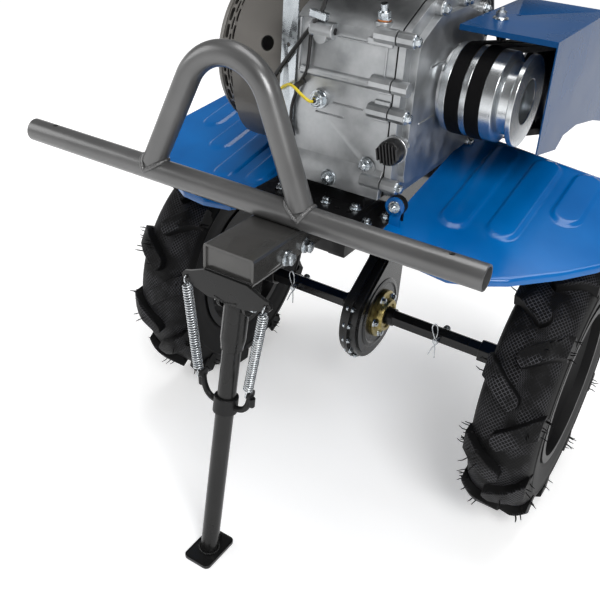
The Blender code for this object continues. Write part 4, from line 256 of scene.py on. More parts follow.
# Name, darker and lighter colour, roughness, then what the kind of finish takes besides
finishTable = (
    (sprayedPaint, "blueEnamel", "#00579c", "#0065ae", 0.18, 0.0, 0.15, 0.08, 0.4),
    # The belt cover's blue is the guards' enamel made darker, as painted shade
    (sprayedPaint, "coverEnamelPaintedShade", "#003865", "#004073", 0.26, 0.0, 0.0, 0.03, 0.12),
    (sprayedPaint, "gunmetalPaint", "#5f5f5f", "#6c6c6c", 0.33, 0.55, 0.2, 0.16),
    (sprayedPaint, "darkPaint", "#191919", "#222222", 0.26, 0.25, 0.1, 0.12, 0.25),
    (sprayedPaint, "bracketPaint", "#414140", "#51504f", 0.2, 0.45, 0.3),
    (sprayedPaint, "blackEnamel", "#0b0b0c", "#141415", 0.26, 0.0, 0.1, 0.1, 0.3),
    (sprayedPaint, "satinBlack", "#0d0d0e", "#161617", 0.45, 0.0, 0.0, 0.12, 0.25),
    (sprayedPaint, "shroudPaint", "#5c5a57", "#6a6763", 0.4, 0.2, 0.2, 0.14),
    (castMetal, "castAluminium", "#989b9d", "#bbbdbf", 0.36),
    (castMetal, "castGrey", "#8b8e91", "#b4b7ba", 0.46),
    (turnedMetal, "pulleyMetal", "#a9adb0", "#d5d8da", 0.27, crankCentre),
    # The driven pulley's turned metal is painted dark, as painted shade for the shade inside the belt cover
    (turnedMetal, "drivenMetalPaintedShade", "#3f4042", "#57595b", 0.42, drivenCentre),
    (platedSteel, "zincPlate", "#aab0b5", "#c9cfd3", 0.24),
    (platedSteel, "yellowZinc", "#74683f", "#b3a36a", 0.34),
    (platedSteel, "springSteel", "#a4a9ad", "#d3d6d8", 0.22),
    (platedSteel, "copperWasher", "#9c5a34", "#c9834f", 0.3),
    (mouldedPlastic, "blackPlastic", "#0f0f10", "#19191a", 0.34),
    (mouldedPlastic, "beltRubber", "#050506", "#0a0a0b", 0.66, 0.4, 0.1),
    (mouldedPlastic, "gripRubber", "#101011", "#1a1a1b", 0.7, 0.3),
    (mouldedPlastic, "sealRubber", "#080808", "#121212", 0.55, 0.15, 0.2),
    (mouldedPlastic, "yellowCover", "#cdb51c", "#e6d03a", 0.36, 0.05),
    (mouldedPlastic, "wireCover", "#0d0d0e", "#161617", 0.35, 0.05),
    (mouldedPlastic, "bareLabel", "#8b8a86", "#a09f9a", 0.4, 0.03),
    (platedSteel, "mufflerSteel", "#55514c", "#77736c", 0.42),
    (treadRubber, "tyreRubber"),
)
finishes = {name: kind(name, *values) for kind, name, *values in finishTable}
print("finishes ready:", len(finishes))


# Mesh helpers. Each add function puts one more closed shape into a bmesh.

def turnTo(spot, direction):
    quat = Vector(direction).normalized().to_track_quat("Z", "Y")
    return Matrix.Translation(Vector(spot)) @ quat.to_matrix().to_4x4()


def addBar(bm, start, end, radius, sides, endRadius=None):
    start, end = Vector(start), Vector(end)
    place = turnTo((start + end) / 2, end - start)
    last = radius if endRadius is None else endRadius
    return bmesh.ops.create_cone(bm, cap_ends=True, segments=sides, radius1=radius, radius2=last,
                                 depth=(end - start).length, matrix=place)["verts"]


def addBox(bm, low, high):
    low, high = Vector(low), Vector(high)
    place = Matrix.Translation((low + high) / 2) @ Matrix.Diagonal((*(high - low), 1.0))
    return bmesh.ops.create_cube(bm, size=1.0, matrix=place)["verts"]


def placed(bm, before, matrix):
    # Moves what was added to a bmesh since the set of vertices was kept
    bmesh.ops.transform(bm, matrix=matrix, verts=[vert for vert in bm.verts if vert not in before])


def ringSpots(y, z, radius, count, first=0.0):
    # Evenly spaced (y, z) places on a circle about x, the first one given in degrees from +y
    turns = [math.radians(first + 360 / count * index) for index in range(count)]
    return [(y + radius * math.cos(turn), z + radius * math.sin(turn)) for turn in turns]


def fromSpot(spot, steps):
    # A route given by its offsets from one place
    return [Vector(spot) + Vector(step) for step in steps]


def addSpin(bm, profile, spot, direction, sides):
    # A closed outline of (distance along the axis, radius) points, spun round that axis
    verts = [bm.verts.new((radius, 0.0, along)) for along, radius in profile]
    edges = [bm.edges.new(pair) for pair in zip(verts, verts[1:] + verts[:1])]
    before = set(bm.verts) - set(verts)
    bmesh.ops.spin(bm, geom=verts + edges, cent=(0, 0, 0), axis=(0, 0, 1), angle=2 * math.pi,
                   steps=sides, use_merge=True)
    fresh = [vert for vert in bm.verts if vert not in before]
    bmesh.ops.remove_doubles(bm, verts=fresh, dist=1e-6)
    fresh = [vert for vert in bm.verts if vert not in before]
    loose = [edge for edge in bm.edges if not edge.link_faces]
    bmesh.ops.delete(bm, geom=loose, context="EDGES")
    bmesh.ops.transform(bm, matrix=turnTo(spot, direction), verts=fresh)
    return fresh


def addPlate(bm, outline, low, high, plane):
    # Flat outline on a plane, extruded between two distances along the third axis
    order = {"YZ": (2, 0, 1), "XZ": (0, 2, 1), "XY": (0, 1, 2)}[plane]
    verts = []
    for first, second in outline:
        values = (first, second, low)
        verts.append(bm.verts.new([values[index] for index in order]))
    face = bm.faces.new(verts)
    made = bmesh.ops.extrude_face_region(bm, geom=[face])
    tops = [item for item in made["geom"] if isinstance(item, bmesh.types.BMVert)]
    step = [0.0, 0.0, 0.0]
    step[order.index(2)] = high - low
    bmesh.ops.translate(bm, vec=step, verts=tops)
    return verts + tops


def smoothPath(points, steps):
    # Catmull-Rom curve through the points
    points = [Vector(point) for point in points]
    path = [points[0]]
    for index in range(len(points) - 1):
        before = points[max(index - 1, 0)]
        first, second = points[index], points[index + 1]
        after = points[min(index + 2, len(points) - 1)]
        for step in range(1, steps + 1):
            t = step / steps
            path.append(0.5 * (2 * first + (second - before) * t
                               + (2 * before - 5 * first + 4 * second - after) * t * t
                               + (3 * first - before - 3 * second + after) * t * t * t))
    return path


def roundedPath(corners, radius, steps=10):
    # Straight runs joined by arcs, as a bender leaves a tube
    corners = [Vector(corner) for corner in corners]
    path = [corners[0]]
    for index in range(1, len(corners) - 1):
        here = corners[index]
        back = (corners[index - 1] - here).normalized()
        ahead = (corners[index + 1] - here).normalized()
        half = back.angle(ahead) / 2
        reach = radius / math.tan(half)
        centre = here + (back + ahead).normalized() * (radius / math.sin(half))
        first = here + back * reach - centre
        second = here + ahead * reach - centre
        sweep = first.angle(second)
        axis = first.cross(second).normalized()
        for step in range(steps + 1):
            path.append(centre + Matrix.Rotation(sweep * step / steps, 3, axis) @ first)
    path.append(corners[-1])
    return path


def addTube(bm, points, radius, sides, endScale=1.0):
    # A ring carried along a path by extruding its edge loop
    points = [Vector(point) for point in points]
    heading = (points[1] - points[0]).normalized()
    ring = bmesh.ops.create_circle(bm, cap_ends=True, segments=sides, radius=radius,
                                   matrix=turnTo(points[0], heading))["verts"]
    edges = list({edge for vert in ring for edge in vert.link_edges})
    for index in range(1, len(points)):
        following = points[min(index + 1, len(points) - 1)] - points[index - 1]
        following = following.normalized() if following.length > 1e-9 else heading
        made = bmesh.ops.extrude_edge_only(bm, edges=edges)
        ring = [item for item in made["geom"] if isinstance(item, bmesh.types.BMVert)]
        edges = [item for item in made["geom"] if isinstance(item, bmesh.types.BMEdge)]
        turn = heading.rotation_difference(following).to_matrix().to_4x4()
        middle = sum((vert.co for vert in ring), Vector()) / len(ring)
        grow = endScale if index == len(points) - 1 else 1.0
        place = (Matrix.Translation(points[index]) @ turn @ Matrix.Scale(grow, 4)
                 @ Matrix.Translation(-middle))
        bmesh.ops.transform(bm, matrix=place, verts=ring)
        heading = following
    bmesh.ops.contextual_create(bm, geom=edges)


def addBolt(bm, spot, direction, across, height, flange=0.0):
    # Hexagon head with a turned-down crown on a washer face
    sides = 6
    place = turnTo(spot, direction)
    corner = across / math.sqrt(3)
    base = 0.0
    if flange:
        thick = across * 0.16
        bmesh.ops.create_cone(bm, cap_ends=True, segments=24, radius1=flange, radius2=flange * 0.92,
                              depth=thick, matrix=place @ Matrix.Translation((0, 0, thick / 2)))
        base = thick * 0.9
    body = height * 0.84
    bmesh.ops.create_cone(bm, cap_ends=True, segments=sides, radius1=corner, radius2=corner, depth=body,
                          matrix=place @ Matrix.Translation((0, 0, base + body / 2)))
    crown = height - body
    bmesh.ops.create_cone(bm, cap_ends=True, segments=sides * 3, radius1=across * 0.49,
                          radius2=across * 0.4, depth=crown,
                          matrix=place @ Matrix.Translation((0, 0, base + body + crown / 2)))
    bmesh.ops.create_cone(bm, cap_ends=True, segments=sides * 3, radius1=across * 0.33,
                          radius2=across * 0.27, depth=crown * 0.6,
                          matrix=place @ Matrix.Translation((0, 0, base + height + crown * 0.3)))


def finishPiece(bm, name, body, finish, bevel=0.0, segments=2, angle=35, soften=0, replaced=(),
                moveIt=True):
    # Closes a bmesh into a named object with its finish, its body and the nodes it stands for
    bmesh.ops.remove_doubles(bm, verts=bm.verts, dist=1e-6)
    bmesh.ops.recalc_face_normals(bm, faces=bm.faces)
    if moveIt:
        bmesh.ops.translate(bm, vec=shift, verts=bm.verts)
    mesh = bpy.data.meshes.new(name)
    bm.to_mesh(mesh)
    bm.free()
    mesh.polygons.foreach_set("use_smooth", [True] * len(mesh.polygons))
    mesh.set_sharp_from_angle(angle=math.radians(angle))
    mesh.materials.append(finishes[finish])
    piece = bpy.data.objects.new(name, mesh)
    bpy.context.scene.collection.objects.link(piece)
    if bevel:
        edge = piece.modifiers.new("roundedEdges", "BEVEL")
        edge.width = bevel
        edge.segments = segments
        edge.limit_method = "ANGLE"
        edge.angle_limit = math.radians(angle)
        edge.harden_normals = False
        edge.miter_outer = "MITER_ARC"
    if soften:
        smooth = piece.modifiers.new("softSurface", "SUBSURF")
        smooth.levels = soften
        smooth.render_levels = soften
    if body:
        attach(piece, body)
    if replaced:
        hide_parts(*replaced)
    return piece


def carved(bm, cutter):
    # The first mesh less the second, in one exact cut
    things = []
    for part in (bm, cutter):
        bmesh.ops.remove_doubles(part, verts=part.verts, dist=1e-6)
        bmesh.ops.recalc_face_normals(part, faces=part.faces)
        mesh = bpy.data.meshes.new("blank")
        part.to_mesh(mesh)
        part.free()
        thing = bpy.data.objects.new("blank", mesh)
        bpy.context.scene.collection.objects.link(thing)
        things.append(thing)
    cut = things[0].modifiers.new("cut", "BOOLEAN")
    cut.operation = "DIFFERENCE"
    cut.solver = "EXACT"
    cut.use_self = True
    cut.object = things[1]
    graph = bpy.context.evaluated_depsgraph_get()
    result = bmesh.new()
    result.from_mesh(things[0].evaluated_get(graph).to_mesh())
    for thing in things:
        bpy.data.objects.remove(thing)
    return result


def softened(node, finish, bevel, segments=2, angle=30):
    # Copy of a CAD node with its doubles merged and its edges rounded, as casting or folding leaves them
    bm = bmesh.new()
    bm.from_mesh(cadNodes[node].data)
    bmesh.ops.remove_doubles(bm, verts=bm.verts, dist=1e-5)
    bmesh.ops.dissolve_limit(bm, angle_limit=math.radians(0.4), verts=bm.verts, edges=bm.edges)
    body = body_of(cadNodes[node])
    body = body if isinstance(body, str) else list(body)[0]
    return finishPiece(bm, node + "Rounded", body, finish, bevel, segments, angle, replaced=(node,),
                       moveIt=False)


def paintNode(node, finish):
    cadNodes[node].data.materials.clear()
    cadNodes[node].data.materials.append(finishes[finish])


# Wheels: tyre 4.00-10 pattern with slanted lugs, pressed rim, hexagon axle

tyre = {
    "radius": 0.232,          # over the lugs
    "crown": 0.217,           # carcass between the lugs
    "halfWidth": 0.05,
    "trackHalf": 0.3175,
    "lugsPerSide": 11,
    "firstLug": 142.8,        # degrees from +y towards +z, a lug of the +x side
    "lugSlant": -0.162,       # radians from the middle to the shoulder
    "lugWidth": 0.034,        # across the bar at its nose
    "lugFlare": 0.007,        # wider by this at the shoulder
    "nose": 0.013,            # how far a lug reaches past the middle
    "hatchCell": 0.005,
    "hairs": 170,
    "hairLength": (0.008, 0.016),
    "hairRadius": 0.00105,
}
axleHeight = tyre["radius"]


def carcassOutline():
    # Closed section of the carcass: tread, sidewall, bead and the inside, mirrored to the left
    right = [(0.014, 0.2168), (0.027, 0.215), (0.037, 0.2108), (0.044, 0.2045), (0.048, 0.196),
             (0.05, 0.186), (0.0513, 0.185), (0.0516, 0.1838), (0.0513, 0.1826), (0.0502, 0.1816),
             (0.0502, 0.17), (0.049, 0.158), (0.0466, 0.147), (0.0466, 0.144), (0.044, 0.137),
             (0.042, 0.131), (0.041, 0.1252)]
    inside = [(0.0345, 0.1252), (0.0365, 0.15), (0.0375, 0.175), (0.034, 0.197), (0.02, 0.207)]
    half = [(0.0, 0.2172)] + right + inside
    left = [(-along, radius) for along, radius in reversed(right + inside)]
    return half + [(0.0, 0.2085)] + left


def shoulderTurn(across):
    # How far a slanted lug has turned at a distance from the middle
    share = min(max(across, 0.0) / (tyre["halfWidth"] * 0.94), 1.0)
    return tyre["lugSlant"] * share


def lugAngles(way):
    # Lugs alternate: those of the -x side stand midway between those of the +x side
    step = 2 * math.pi / tyre["lugsPerSide"]
    start = math.radians(tyre["firstLug"]) + (0.0 if way > 0 else step / 2)
    return [start + index * step for index in range(tyre["lugsPerSide"])]


def crownRadius(across):
    edge = abs(across) / tyre["halfWidth"]
    return tyre["crown"] - 0.013 * max(edge - 0.45, 0.0) ** 1.6 / 0.38


def lugBlank():
    # A flat block with a gridded top: x runs from the nose to the shoulder, y across the bar
    bm = bmesh.new()
    bmesh.ops.create_grid(bm, x_segments=8, y_segments=5, size=0.5)
    made = bmesh.ops.extrude_face_region(bm, geom=bm.faces[:])
    tops = [item for item in made["geom"] if isinstance(item, bmesh.types.BMVert)]
    bmesh.ops.translate(bm, vec=(0, 0, 1), verts=tops)
    for vert in bm.verts:
        u, v = vert.co.x + 0.5, vert.co.y
        vert.co.x += 0.26 * (1 - math.sqrt(1 - (1.9 * v) ** 2)) * max(1 - u / 0.45, 0.0)
    mesh = bpy.data.meshes.new("lugBlank")
    bm.to_mesh(mesh)
    bm.free()
    return mesh


def addLug(bm, blank, side, angle, hatch):
    # One tread bar: a rounded nose past the middle, widening to the shoulder
    before = set(bm.verts)
    bm.from_mesh(blank)
    for vert in [vert for vert in bm.verts if vert not in before]:
        u = vert.co.x + 0.5          # 0 at the nose, 1 at the shoulder
        v = vert.co.y                # across the bar
        top = vert.co.z > 0.5
        across = -tyre["nose"] + u * (tyre["halfWidth"] * 1.005 + tyre["nose"])
        width = tyre["lugWidth"] + tyre["lugFlare"] * u
        shrink = 0.88 if top else 1.06
        if top:
            radius = tyre["radius"] - 0.0004 - 0.014 * max(u - 0.62, 0.0) ** 1.5 / 0.24
        else:
            radius = crownRadius(across) - 0.006
        turn = angle + shoulderTurn(across) + v * width * shrink / tyre["radius"]
        along = across + (0.0015 if top and u < 0.2 else 0.0)
        vert.co = (side * min(along, 0.0508), radius * math.cos(turn), radius * math.sin(turn))
        vert[hatch] = 1.0 if top else -2.5


def addSideBlock(bm, side, angle):
    # The lug's foot that runs down the sidewall
    verts = bmesh.ops.create_cube(bm, size=1.0)["verts"]
    for vert in verts:
        low = vert.co.z < 0
        radius = 0.1865 if low else 0.2135
        width = (0.02 if low else tyre["lugWidth"]) / tyre["radius"]
        outer = 0.0515 if low else 0.05
        along = outer if vert.co.x > 0 else 0.04
        turn = angle + tyre["lugSlant"] * (1.04 if low else 1.0) + vert.co.y * width
        vert.co = (side * along, radius * math.cos(turn), radius * math.sin(turn))


def makeTyre(label, side):
    # Carcass with its lugs, and a UV map in cells of the cross-hatch
    bm = bmesh.new()
    hatch = bm.verts.layers.float.new("hatch")
    addSpin(bm, carcassOutline(), (0, 0, 0), (0, 0, 1), 144)
    bmesh.ops.transform(bm, matrix=Matrix.Rotation(math.pi / 2, 4, "Y"), verts=bm.verts)
    for vert in bm.verts:
        radius = math.hypot(vert.co.y, vert.co.z)
        vert[hatch] = min(max((radius - 0.198) / 0.008, 0.0), 0.85)
    blank = lugBlank()
    for way in (1, -1):
        for angle in lugAngles(way):
            addLug(bm, blank, way, angle, hatch)
            addSideBlock(bm, way, angle)
    cells = bm.loops.layers.uv.new("UVMap")
    for face in bm.faces:
        angles = [math.atan2(loop.vert.co.z, loop.vert.co.y) for loop in face.loops]
        for loop, angle in zip(face.loops, angles):
            if max(angles) - min(angles) > math.pi and angle < 0:
                angle += 2 * math.pi
            radius = math.hypot(loop.vert.co.y, loop.vert.co.z)
            across = loop.vert.co.x + math.copysign(tyre["radius"] - radius, loop.vert.co.x)
            loop[cells].uv = (angle * tyre["radius"] / tyre["hatchCell"], across / tyre["hatchCell"])
    bmesh.ops.translate(bm, vec=(side * tyre["trackHalf"], 0, axleHeight), verts=bm.verts)
    finishPiece(bm, "tyreTread" + label, "wheels", "tyreRubber", 0.0011, 1, 32,
                replaced=("tyre_" + label.lower(),))


def makeHairs(label, side):
    # Moulding whiskers, thin rubber threads 8 to 16 mm long, left at lug corners and shoulders
    bm = bmesh.new()
    for _ in range(tyre["hairs"]):
        way = rng.choice((-1, 1))
        angle = rng.choice(lugAngles(way)) + rng.uniform(-0.08, 0.08)
        kind = rng.random()
        if kind < 0.6:
            across, radius = 0.05, rng.uniform(0.196, 0.214)
            turn = angle + tyre["lugSlant"]
            away = Vector((0, math.cos(turn), math.sin(turn)))
            out = Vector((way, 0, 0)) * 0.8 + away * rng.uniform(0.0, 0.6)
        else:
            across, radius = rng.uniform(0.008, 0.045), 0.2305
            turn = angle + shoulderTurn(across)
            radius -= 0.014 * max(across / 0.05 - 0.55, 0.0) ** 1.5 / 0.3
            out = Vector((way * 0.5, math.cos(turn), math.sin(turn)))
        spot = Vector((way * across, radius * math.cos(turn), radius * math.sin(turn)))
        if spot.z < -0.205 or spot.z > 0.19:
            continue
        out.normalize()
        bend = Vector((rng.uniform(-0.3, 0.3), rng.uniform(-0.4, 0.4), rng.uniform(-0.4, 0.4)))
        length = rng.uniform(*tyre["hairLength"])
        middle = spot + out * length * 0.5
        end = middle + (out + bend).normalized() * length * 0.5
        addTube(bm, [spot - out * 0.002, middle, end], tyre["hairRadius"], 4, 0.6)
    bmesh.ops.translate(bm, vec=(side * tyre["trackHalf"], 0, axleHeight), verts=bm.verts)
    finishPiece(bm, "tyreHairs" + label, "wheels", "tyreRubber")


rim = {"radius": 0.124, "thickness": 0.003, "flange": 0.01, "well": 0.012, "disc": 0.005,
       "hubHole": 0.03, "half": tyre["halfWidth"] * 0.82 + 0.003, "windows": 4, "windowCircle": 0.0885,
       "windowRadius": 0.012, "valveCircle": 0.104, "valveTurn": 1.9, "bolts": 4, "boltCircle": 0.045,
       "boltAcross": 0.013}


def makeRim(label, side):
    # Pressed rim with a drop centre and a dished disc with round windows
    half, outer, lip = rim["half"], rim["radius"], rim["thickness"]
    inner, flange, well = outer - lip, outer + rim["flange"], rim["well"]
    disc = -side * half * 0.3
    thick = rim["disc"] / 2
    outline = [(-half - lip, flange), (-half, flange), (-half, outer), (-half * 0.72, outer),
               (-half * 0.42, outer - well), (half * 0.42, outer - well), (half * 0.72, outer),
               (half, outer), (half, flange), (half + lip, flange), (half + lip, inner),
               (half * 0.72, inner), (half * 0.44, inner - well), (disc + thick, inner - well),
               (disc + thick * 1.2, 0.08), (disc + thick + side * 0.004, 0.068),
               (disc + thick, rim["hubHole"]), (disc - thick, rim["hubHole"]),
               (disc - thick + side * 0.004, 0.068), (disc - thick * 0.8, 0.08),
               (disc - thick, inner - well), (-half * 0.44, inner - well), (-half * 0.72, inner),
               (-half - lip, inner)]
    bm = bmesh.new()
    spot = (side * tyre["trackHalf"], 0, axleHeight)
    addSpin(bm, outline, spot, (1, 0, 0), 96)
    holes = bmesh.new()
    middle = spot[0] + disc
    for y, z in ringSpots(0.0, axleHeight, rim["windowCircle"], rim["windows"], 45.0):
        addBar(holes, (middle - 0.012, y, z), (middle + 0.012, y, z), rim["windowRadius"], 40)
    bm = carved(bm, holes)
    finishPiece(bm, "rimPressed" + label, "wheels", "satinBlack", 0.0006, 2, 40,
                replaced=("rim_" + label.lower(),))


def makeValve(label, side):
    # Valve stem through the rim's well, on the outer side
    turn, circle = rim["valveTurn"], rim["valveCircle"]
    way = Vector((side * 0.8, math.cos(turn) * 0.6, math.sin(turn) * 0.6)).normalized()
    root = Vector((side * (tyre["trackHalf"] + rim["half"] * 0.3), math.cos(turn) * circle,
                   axleHeight + math.sin(turn) * circle))
    bm = bmesh.new()
    addBar(bm, root, root + way * 0.012, 0.0045, 20, 0.0038)
    addBar(bm, root + way * 0.0115, root + way * 0.026, 0.0034, 20)
    addBar(bm, root + way * 0.0235, root + way * 0.034, 0.0042, 12, 0.0036)
    finishPiece(bm, "valveStem" + label, "wheels", "sealRubber")


def makeHubFittings(label, side):
    # Bolts through the disc: a nut and the thread's end outside, the head inside
    bm = bmesh.new()
    disc = side * tyre["trackHalf"] - side * rim["half"] * 0.3
    for y, z in ringSpots(0.0, axleHeight, rim["boltCircle"], rim["bolts"]):
        spot = Vector((disc + side * 0.003, y, z))
        addBolt(bm, spot, (side, 0, 0), rim["boltAcross"], 0.008, 0.01)
        addBar(bm, spot + Vector((side * 0.008, 0, 0)), spot + Vector((side * 0.013, 0, 0)), 0.004, 16)
        back = spot - Vector((side * 0.0142, 0, 0))
        addBolt(bm, back, (-side, 0, 0), rim["boltAcross"], 0.007, 0.01)
    finishPiece(bm, "hubBolts" + label, "wheels", "zincPlate")


def makeAxleClip(label, x):
    # Pin through the axle's sleeve, held by an R-shaped spring clip in front
    bm = bmesh.new()
    front = -0.0182          # y of the sleeve's face
    addBar(bm, (x, front - 0.01, axleHeight), (x, -front + 0.006, axleHeight), 0.004, 16)
    addBar(bm, (x, -front + 0.004, axleHeight), (x, -front + 0.008, axleHeight), 0.0068, 16)
    y = front - 0.0065
    path = fromSpot((x, y, axleHeight), (
        (0.004, -0.004, -0.03), (0.001, -0.001, -0.01), (-0.0045, 0.0, 0.0), (0.001, 0.001, 0.011),
        (0.001, 0.0, 0.026), (-0.004, 0.0, 0.034), (-0.009, 0.0, 0.026), (-0.0025, -0.001, 0.009),
        (0.005, -0.001, 0.0), (-0.0025, -0.002, -0.012), (-0.008, -0.004, -0.028)))
    addTube(bm, smoothPath(path, 5), 0.0011, 8)
    finishPiece(bm, "axleClip" + label, "wheels", "springSteel")


for label, side in (("Left", 1), ("Right", -1)):
    makeTyre(label, side)
    makeHairs(label, side)
    makeRim(label, side)
    makeValve(label, side)
    makeHubFittings(label, side)
softened("hub_left", "blackEnamel", 0.0012)
softened("hub_right", "blackEnamel", 0.0012)
softened("wheel_axle", "blackEnamel", 0.001)
makeAxleClip("Left", 0.1325)
makeAxleClip("Right", -0.156)
print("wheels done")


# Bumper, front bracket and stand

bumper = {"radius": 0.0176, "wall": 0.0028, "half": 0.386, "hole": 0.0042, "holeInset": 0.048,
          "centre": (-0.113, -0.285, 0.5261), "archMiddle": -0.12, "archFoot": 0.1335, "archBend": 0.0735,
          "archHeight": 0.19, "archSplay": 0.45, "archLean": 0.045, "bead": 0.0034}


def addBead(bm, path, radius, seed):
    # Weld bead: overlapping round drops along a path
    drops = random.Random(seed)
    for point in path:
        size = radius * drops.uniform(0.85, 1.15)
        bmesh.ops.create_icosphere(bm, subdivisions=2, radius=size, matrix=Matrix.Translation(point))


def archPath(start):
    # Splayed legs joined by one bend, leaning back a little as it rises
    x, y, z = bumper["archMiddle"], bumper["centre"][1], bumper["centre"][2]
    bend, splay = bumper["archBend"], math.atan(bumper["archSplay"])
    middle = bumper["archHeight"] - bend
    path = []
    for step in range(-1, 42):
        if step in (-1, 41):
            side = -1 if step == -1 else 1
            across = side * (bumper["archFoot"] - start * bumper["archSplay"])
            rise = start
        else:
            turn = math.pi - splay - (math.pi - 2 * splay) * step / 40
            across, rise = bend * math.cos(turn), middle + bend * math.sin(turn)
        path.append(Vector((x + across, y + rise * bumper["archLean"], z + rise)))
    return path


def makeBumper():
    # Cross tube with a hole near each end, the arch on it and a weld round each foot
    x, y, z = bumper["centre"]
    radius, half = bumper["radius"], bumper["half"]
    bm = bmesh.new()
    inner = radius - bumper["wall"]
    lip = 0.0006
    addSpin(bm, [(-half, inner), (-half, radius - lip), (-half + lip, radius), (half - lip, radius),
                 (half, radius - lip), (half, inner)], bumper["centre"], (1, 0, 0), 72)
    holes = bmesh.new()
    for side in (-1, 1):
        spot = Vector((x + side * (half - bumper["holeInset"]), y, z))
        addBar(holes, spot, spot + Vector((0, 0, 0.03)), bumper["hole"], 24)
    bm = carved(bm, holes)
    addTube(bm, archPath(0.01), radius, 48)
    finishPiece(bm, "bumperTube", "chassis", "gunmetalPaint", 0, 2, 40, replaced=("bumper_bar",))
    bm = bmesh.new()
    for side in (-1, 1):
        # The bead follows the line where the leg's tube meets the bar's
        foot = []
        for step in range(64):
            turn = 2 * math.pi * step / 64
            top = radius * abs(math.cos(turn)) + 0.0006
            across = side * (bumper["archFoot"] - top * bumper["archSplay"])
            across += (radius * 1.08 + 0.0006) * math.cos(turn)
            along = (radius + 0.0004) * math.sin(turn) * 0.985
            foot.append(Vector((bumper["archMiddle"] + across, y + along, z + top)))
        addBead(bm, foot, bumper["bead"], 3 + side)
    finishPiece(bm, "archWelds", "chassis", "gunmetalPaint")


bracket = {"middle": -0.028, "low": 0.4685, "half": 0.0403, "front": -0.3975, "boltHeight": 0.48,
           "boltPlaces": (-0.3207, -0.2742), "boltAcross": 0.0165}


def makeBracketFittings():
    # Two through bolts with their nuts, and the weld beads of the end plate and the pivot
    x, half, z = bracket["middle"], bracket["half"], bracket["boltHeight"]
    front, across = bracket["front"], bracket["boltAcross"]
    bm = bmesh.new()
    for y in bracket["boltPlaces"]:
        addBolt(bm, (x + half, y, z), (1, 0, 0), across, 0.0085, 0.0115)
        addBar(bm, (x - 0.042, y, z), (x - half, y, z), 0.011, 24)
        addBolt(bm, (x - 0.042, y, z), (-1, 0, 0), across, 0.0085)
        addBar(bm, (x - 0.05, y, z), (x - 0.056, y, z), 0.0049, 16)
    finishPiece(bm, "bracketBolts", "chassis", "zincPlate", 0.0003, 1, 35)
    bm = bmesh.new()
    seam = [Vector((x - 0.036 + 0.072 * step / 29, front + 0.0003, bracket["low"] + 0.0035))
            for step in range(30)]
    addBead(bm, seam, 0.0019, 11)
    ring = [Vector((x + 0.0178 * math.cos(turn), front - 0.0052, 0.4345 + 0.004 * abs(math.cos(turn))))
            for turn in [math.pi * step / 14 for step in range(15)]]
    addBead(bm, ring, 0.0017, 12)
    finishPiece(bm, "bracketWelds", "chassis", "darkPaint")


stand = {"top": (-0.028, -0.375, 0.4265), "bottom": (-0.028, -0.438, 0.006), "tube": 0.0135,
         "sleeve": 0.018, "sleeveLength": 0.075, "collarAt": 0.15, "collarHeight": 0.026,
         "knobSpread": 0.041, "springCurls": 34, "springRadius": 0.0062, "springWire": 0.00105}


def alongLeg(distance, across=0.0):
    top, bottom = Vector(stand["top"]), Vector(stand["bottom"])
    return top + (bottom - top).normalized() * distance + Vector((across, 0, 0))


def makeLeg():
    # Tube in a tapered sleeve, on a foot plate with a small gusset
    top, bottom = Vector(stand["top"]), Vector(stand["bottom"])
    down = (bottom - top).normalized()
    length = (bottom - top).length
    tube, sleeve, end = stand["tube"], stand["sleeve"], stand["sleeveLength"]
    bm = bmesh.new()
    outline = [(-0.013, tube - 0.003), (-0.013, sleeve - 0.001), (-0.012, sleeve), (end - 0.018, sleeve),
               (end - 0.013, sleeve - 0.0006), (end - 0.006, tube + 0.0026), (end - 0.0008, tube + 0.0022),
               (end, tube + 0.0014), (end, tube - 0.003)]
    addSpin(bm, outline, top, down, 56)
    addBar(bm, top + down * 0.02, top + down * (length + 0.001), tube, 56)
    bore = bmesh.new()
    addBar(bore, top - Vector((0.05, 0, 0)), top + Vector((0.05, 0, 0)), 0.0055, 24)
    bm = carved(bm, bore)
    finishPiece(bm, "standLeg", "stand", "darkPaint", 0, 2, 40, replaced=("stand_leg",))
    bm = bmesh.new()
    x, y = bottom.x, bottom.y
    addBox(bm, (x - 0.0235, y - 0.035, 0.0), (x + 0.0235, y + 0.035, 0.006))
    posts = [edge for edge in bm.edges if abs(edge.verts[0].co.z - edge.verts[1].co.z) > 0.003]
    bmesh.ops.bevel(bm, geom=posts, offset=0.008, segments=6, affect="EDGES", profile=0.5, material=-1)
    face = next(face for face in bm.faces if face.normal.z > 0.9 or face.calc_center_median().z > 0.0059)
    bmesh.ops.inset_region(bm, faces=[face], thickness=0.0035, depth=-0.0012)
    gusset = [(y + 0.006, 0.005), (y + 0.03, 0.005), (y + 0.0095, 0.036)]
    addPlate(bm, gusset, x - 0.0025, x + 0.0025, "YZ")
    ring = [Vector((x + 0.015 * math.cos(turn), y + 0.0152 * math.sin(turn), 0.0062))
            for turn in [2 * math.pi * step / 30 for step in range(30)]]
    addBead(bm, ring, 0.0021, 21)
    finishPiece(bm, "standFoot", "stand", "darkPaint", 0.0007, 2, 35)


def anchorSpot(side):
    centre = alongLeg(stand["collarAt"] - 0.022)
    return Vector((centre.x + side * stand["knobSpread"], centre.y - 0.004, centre.z))


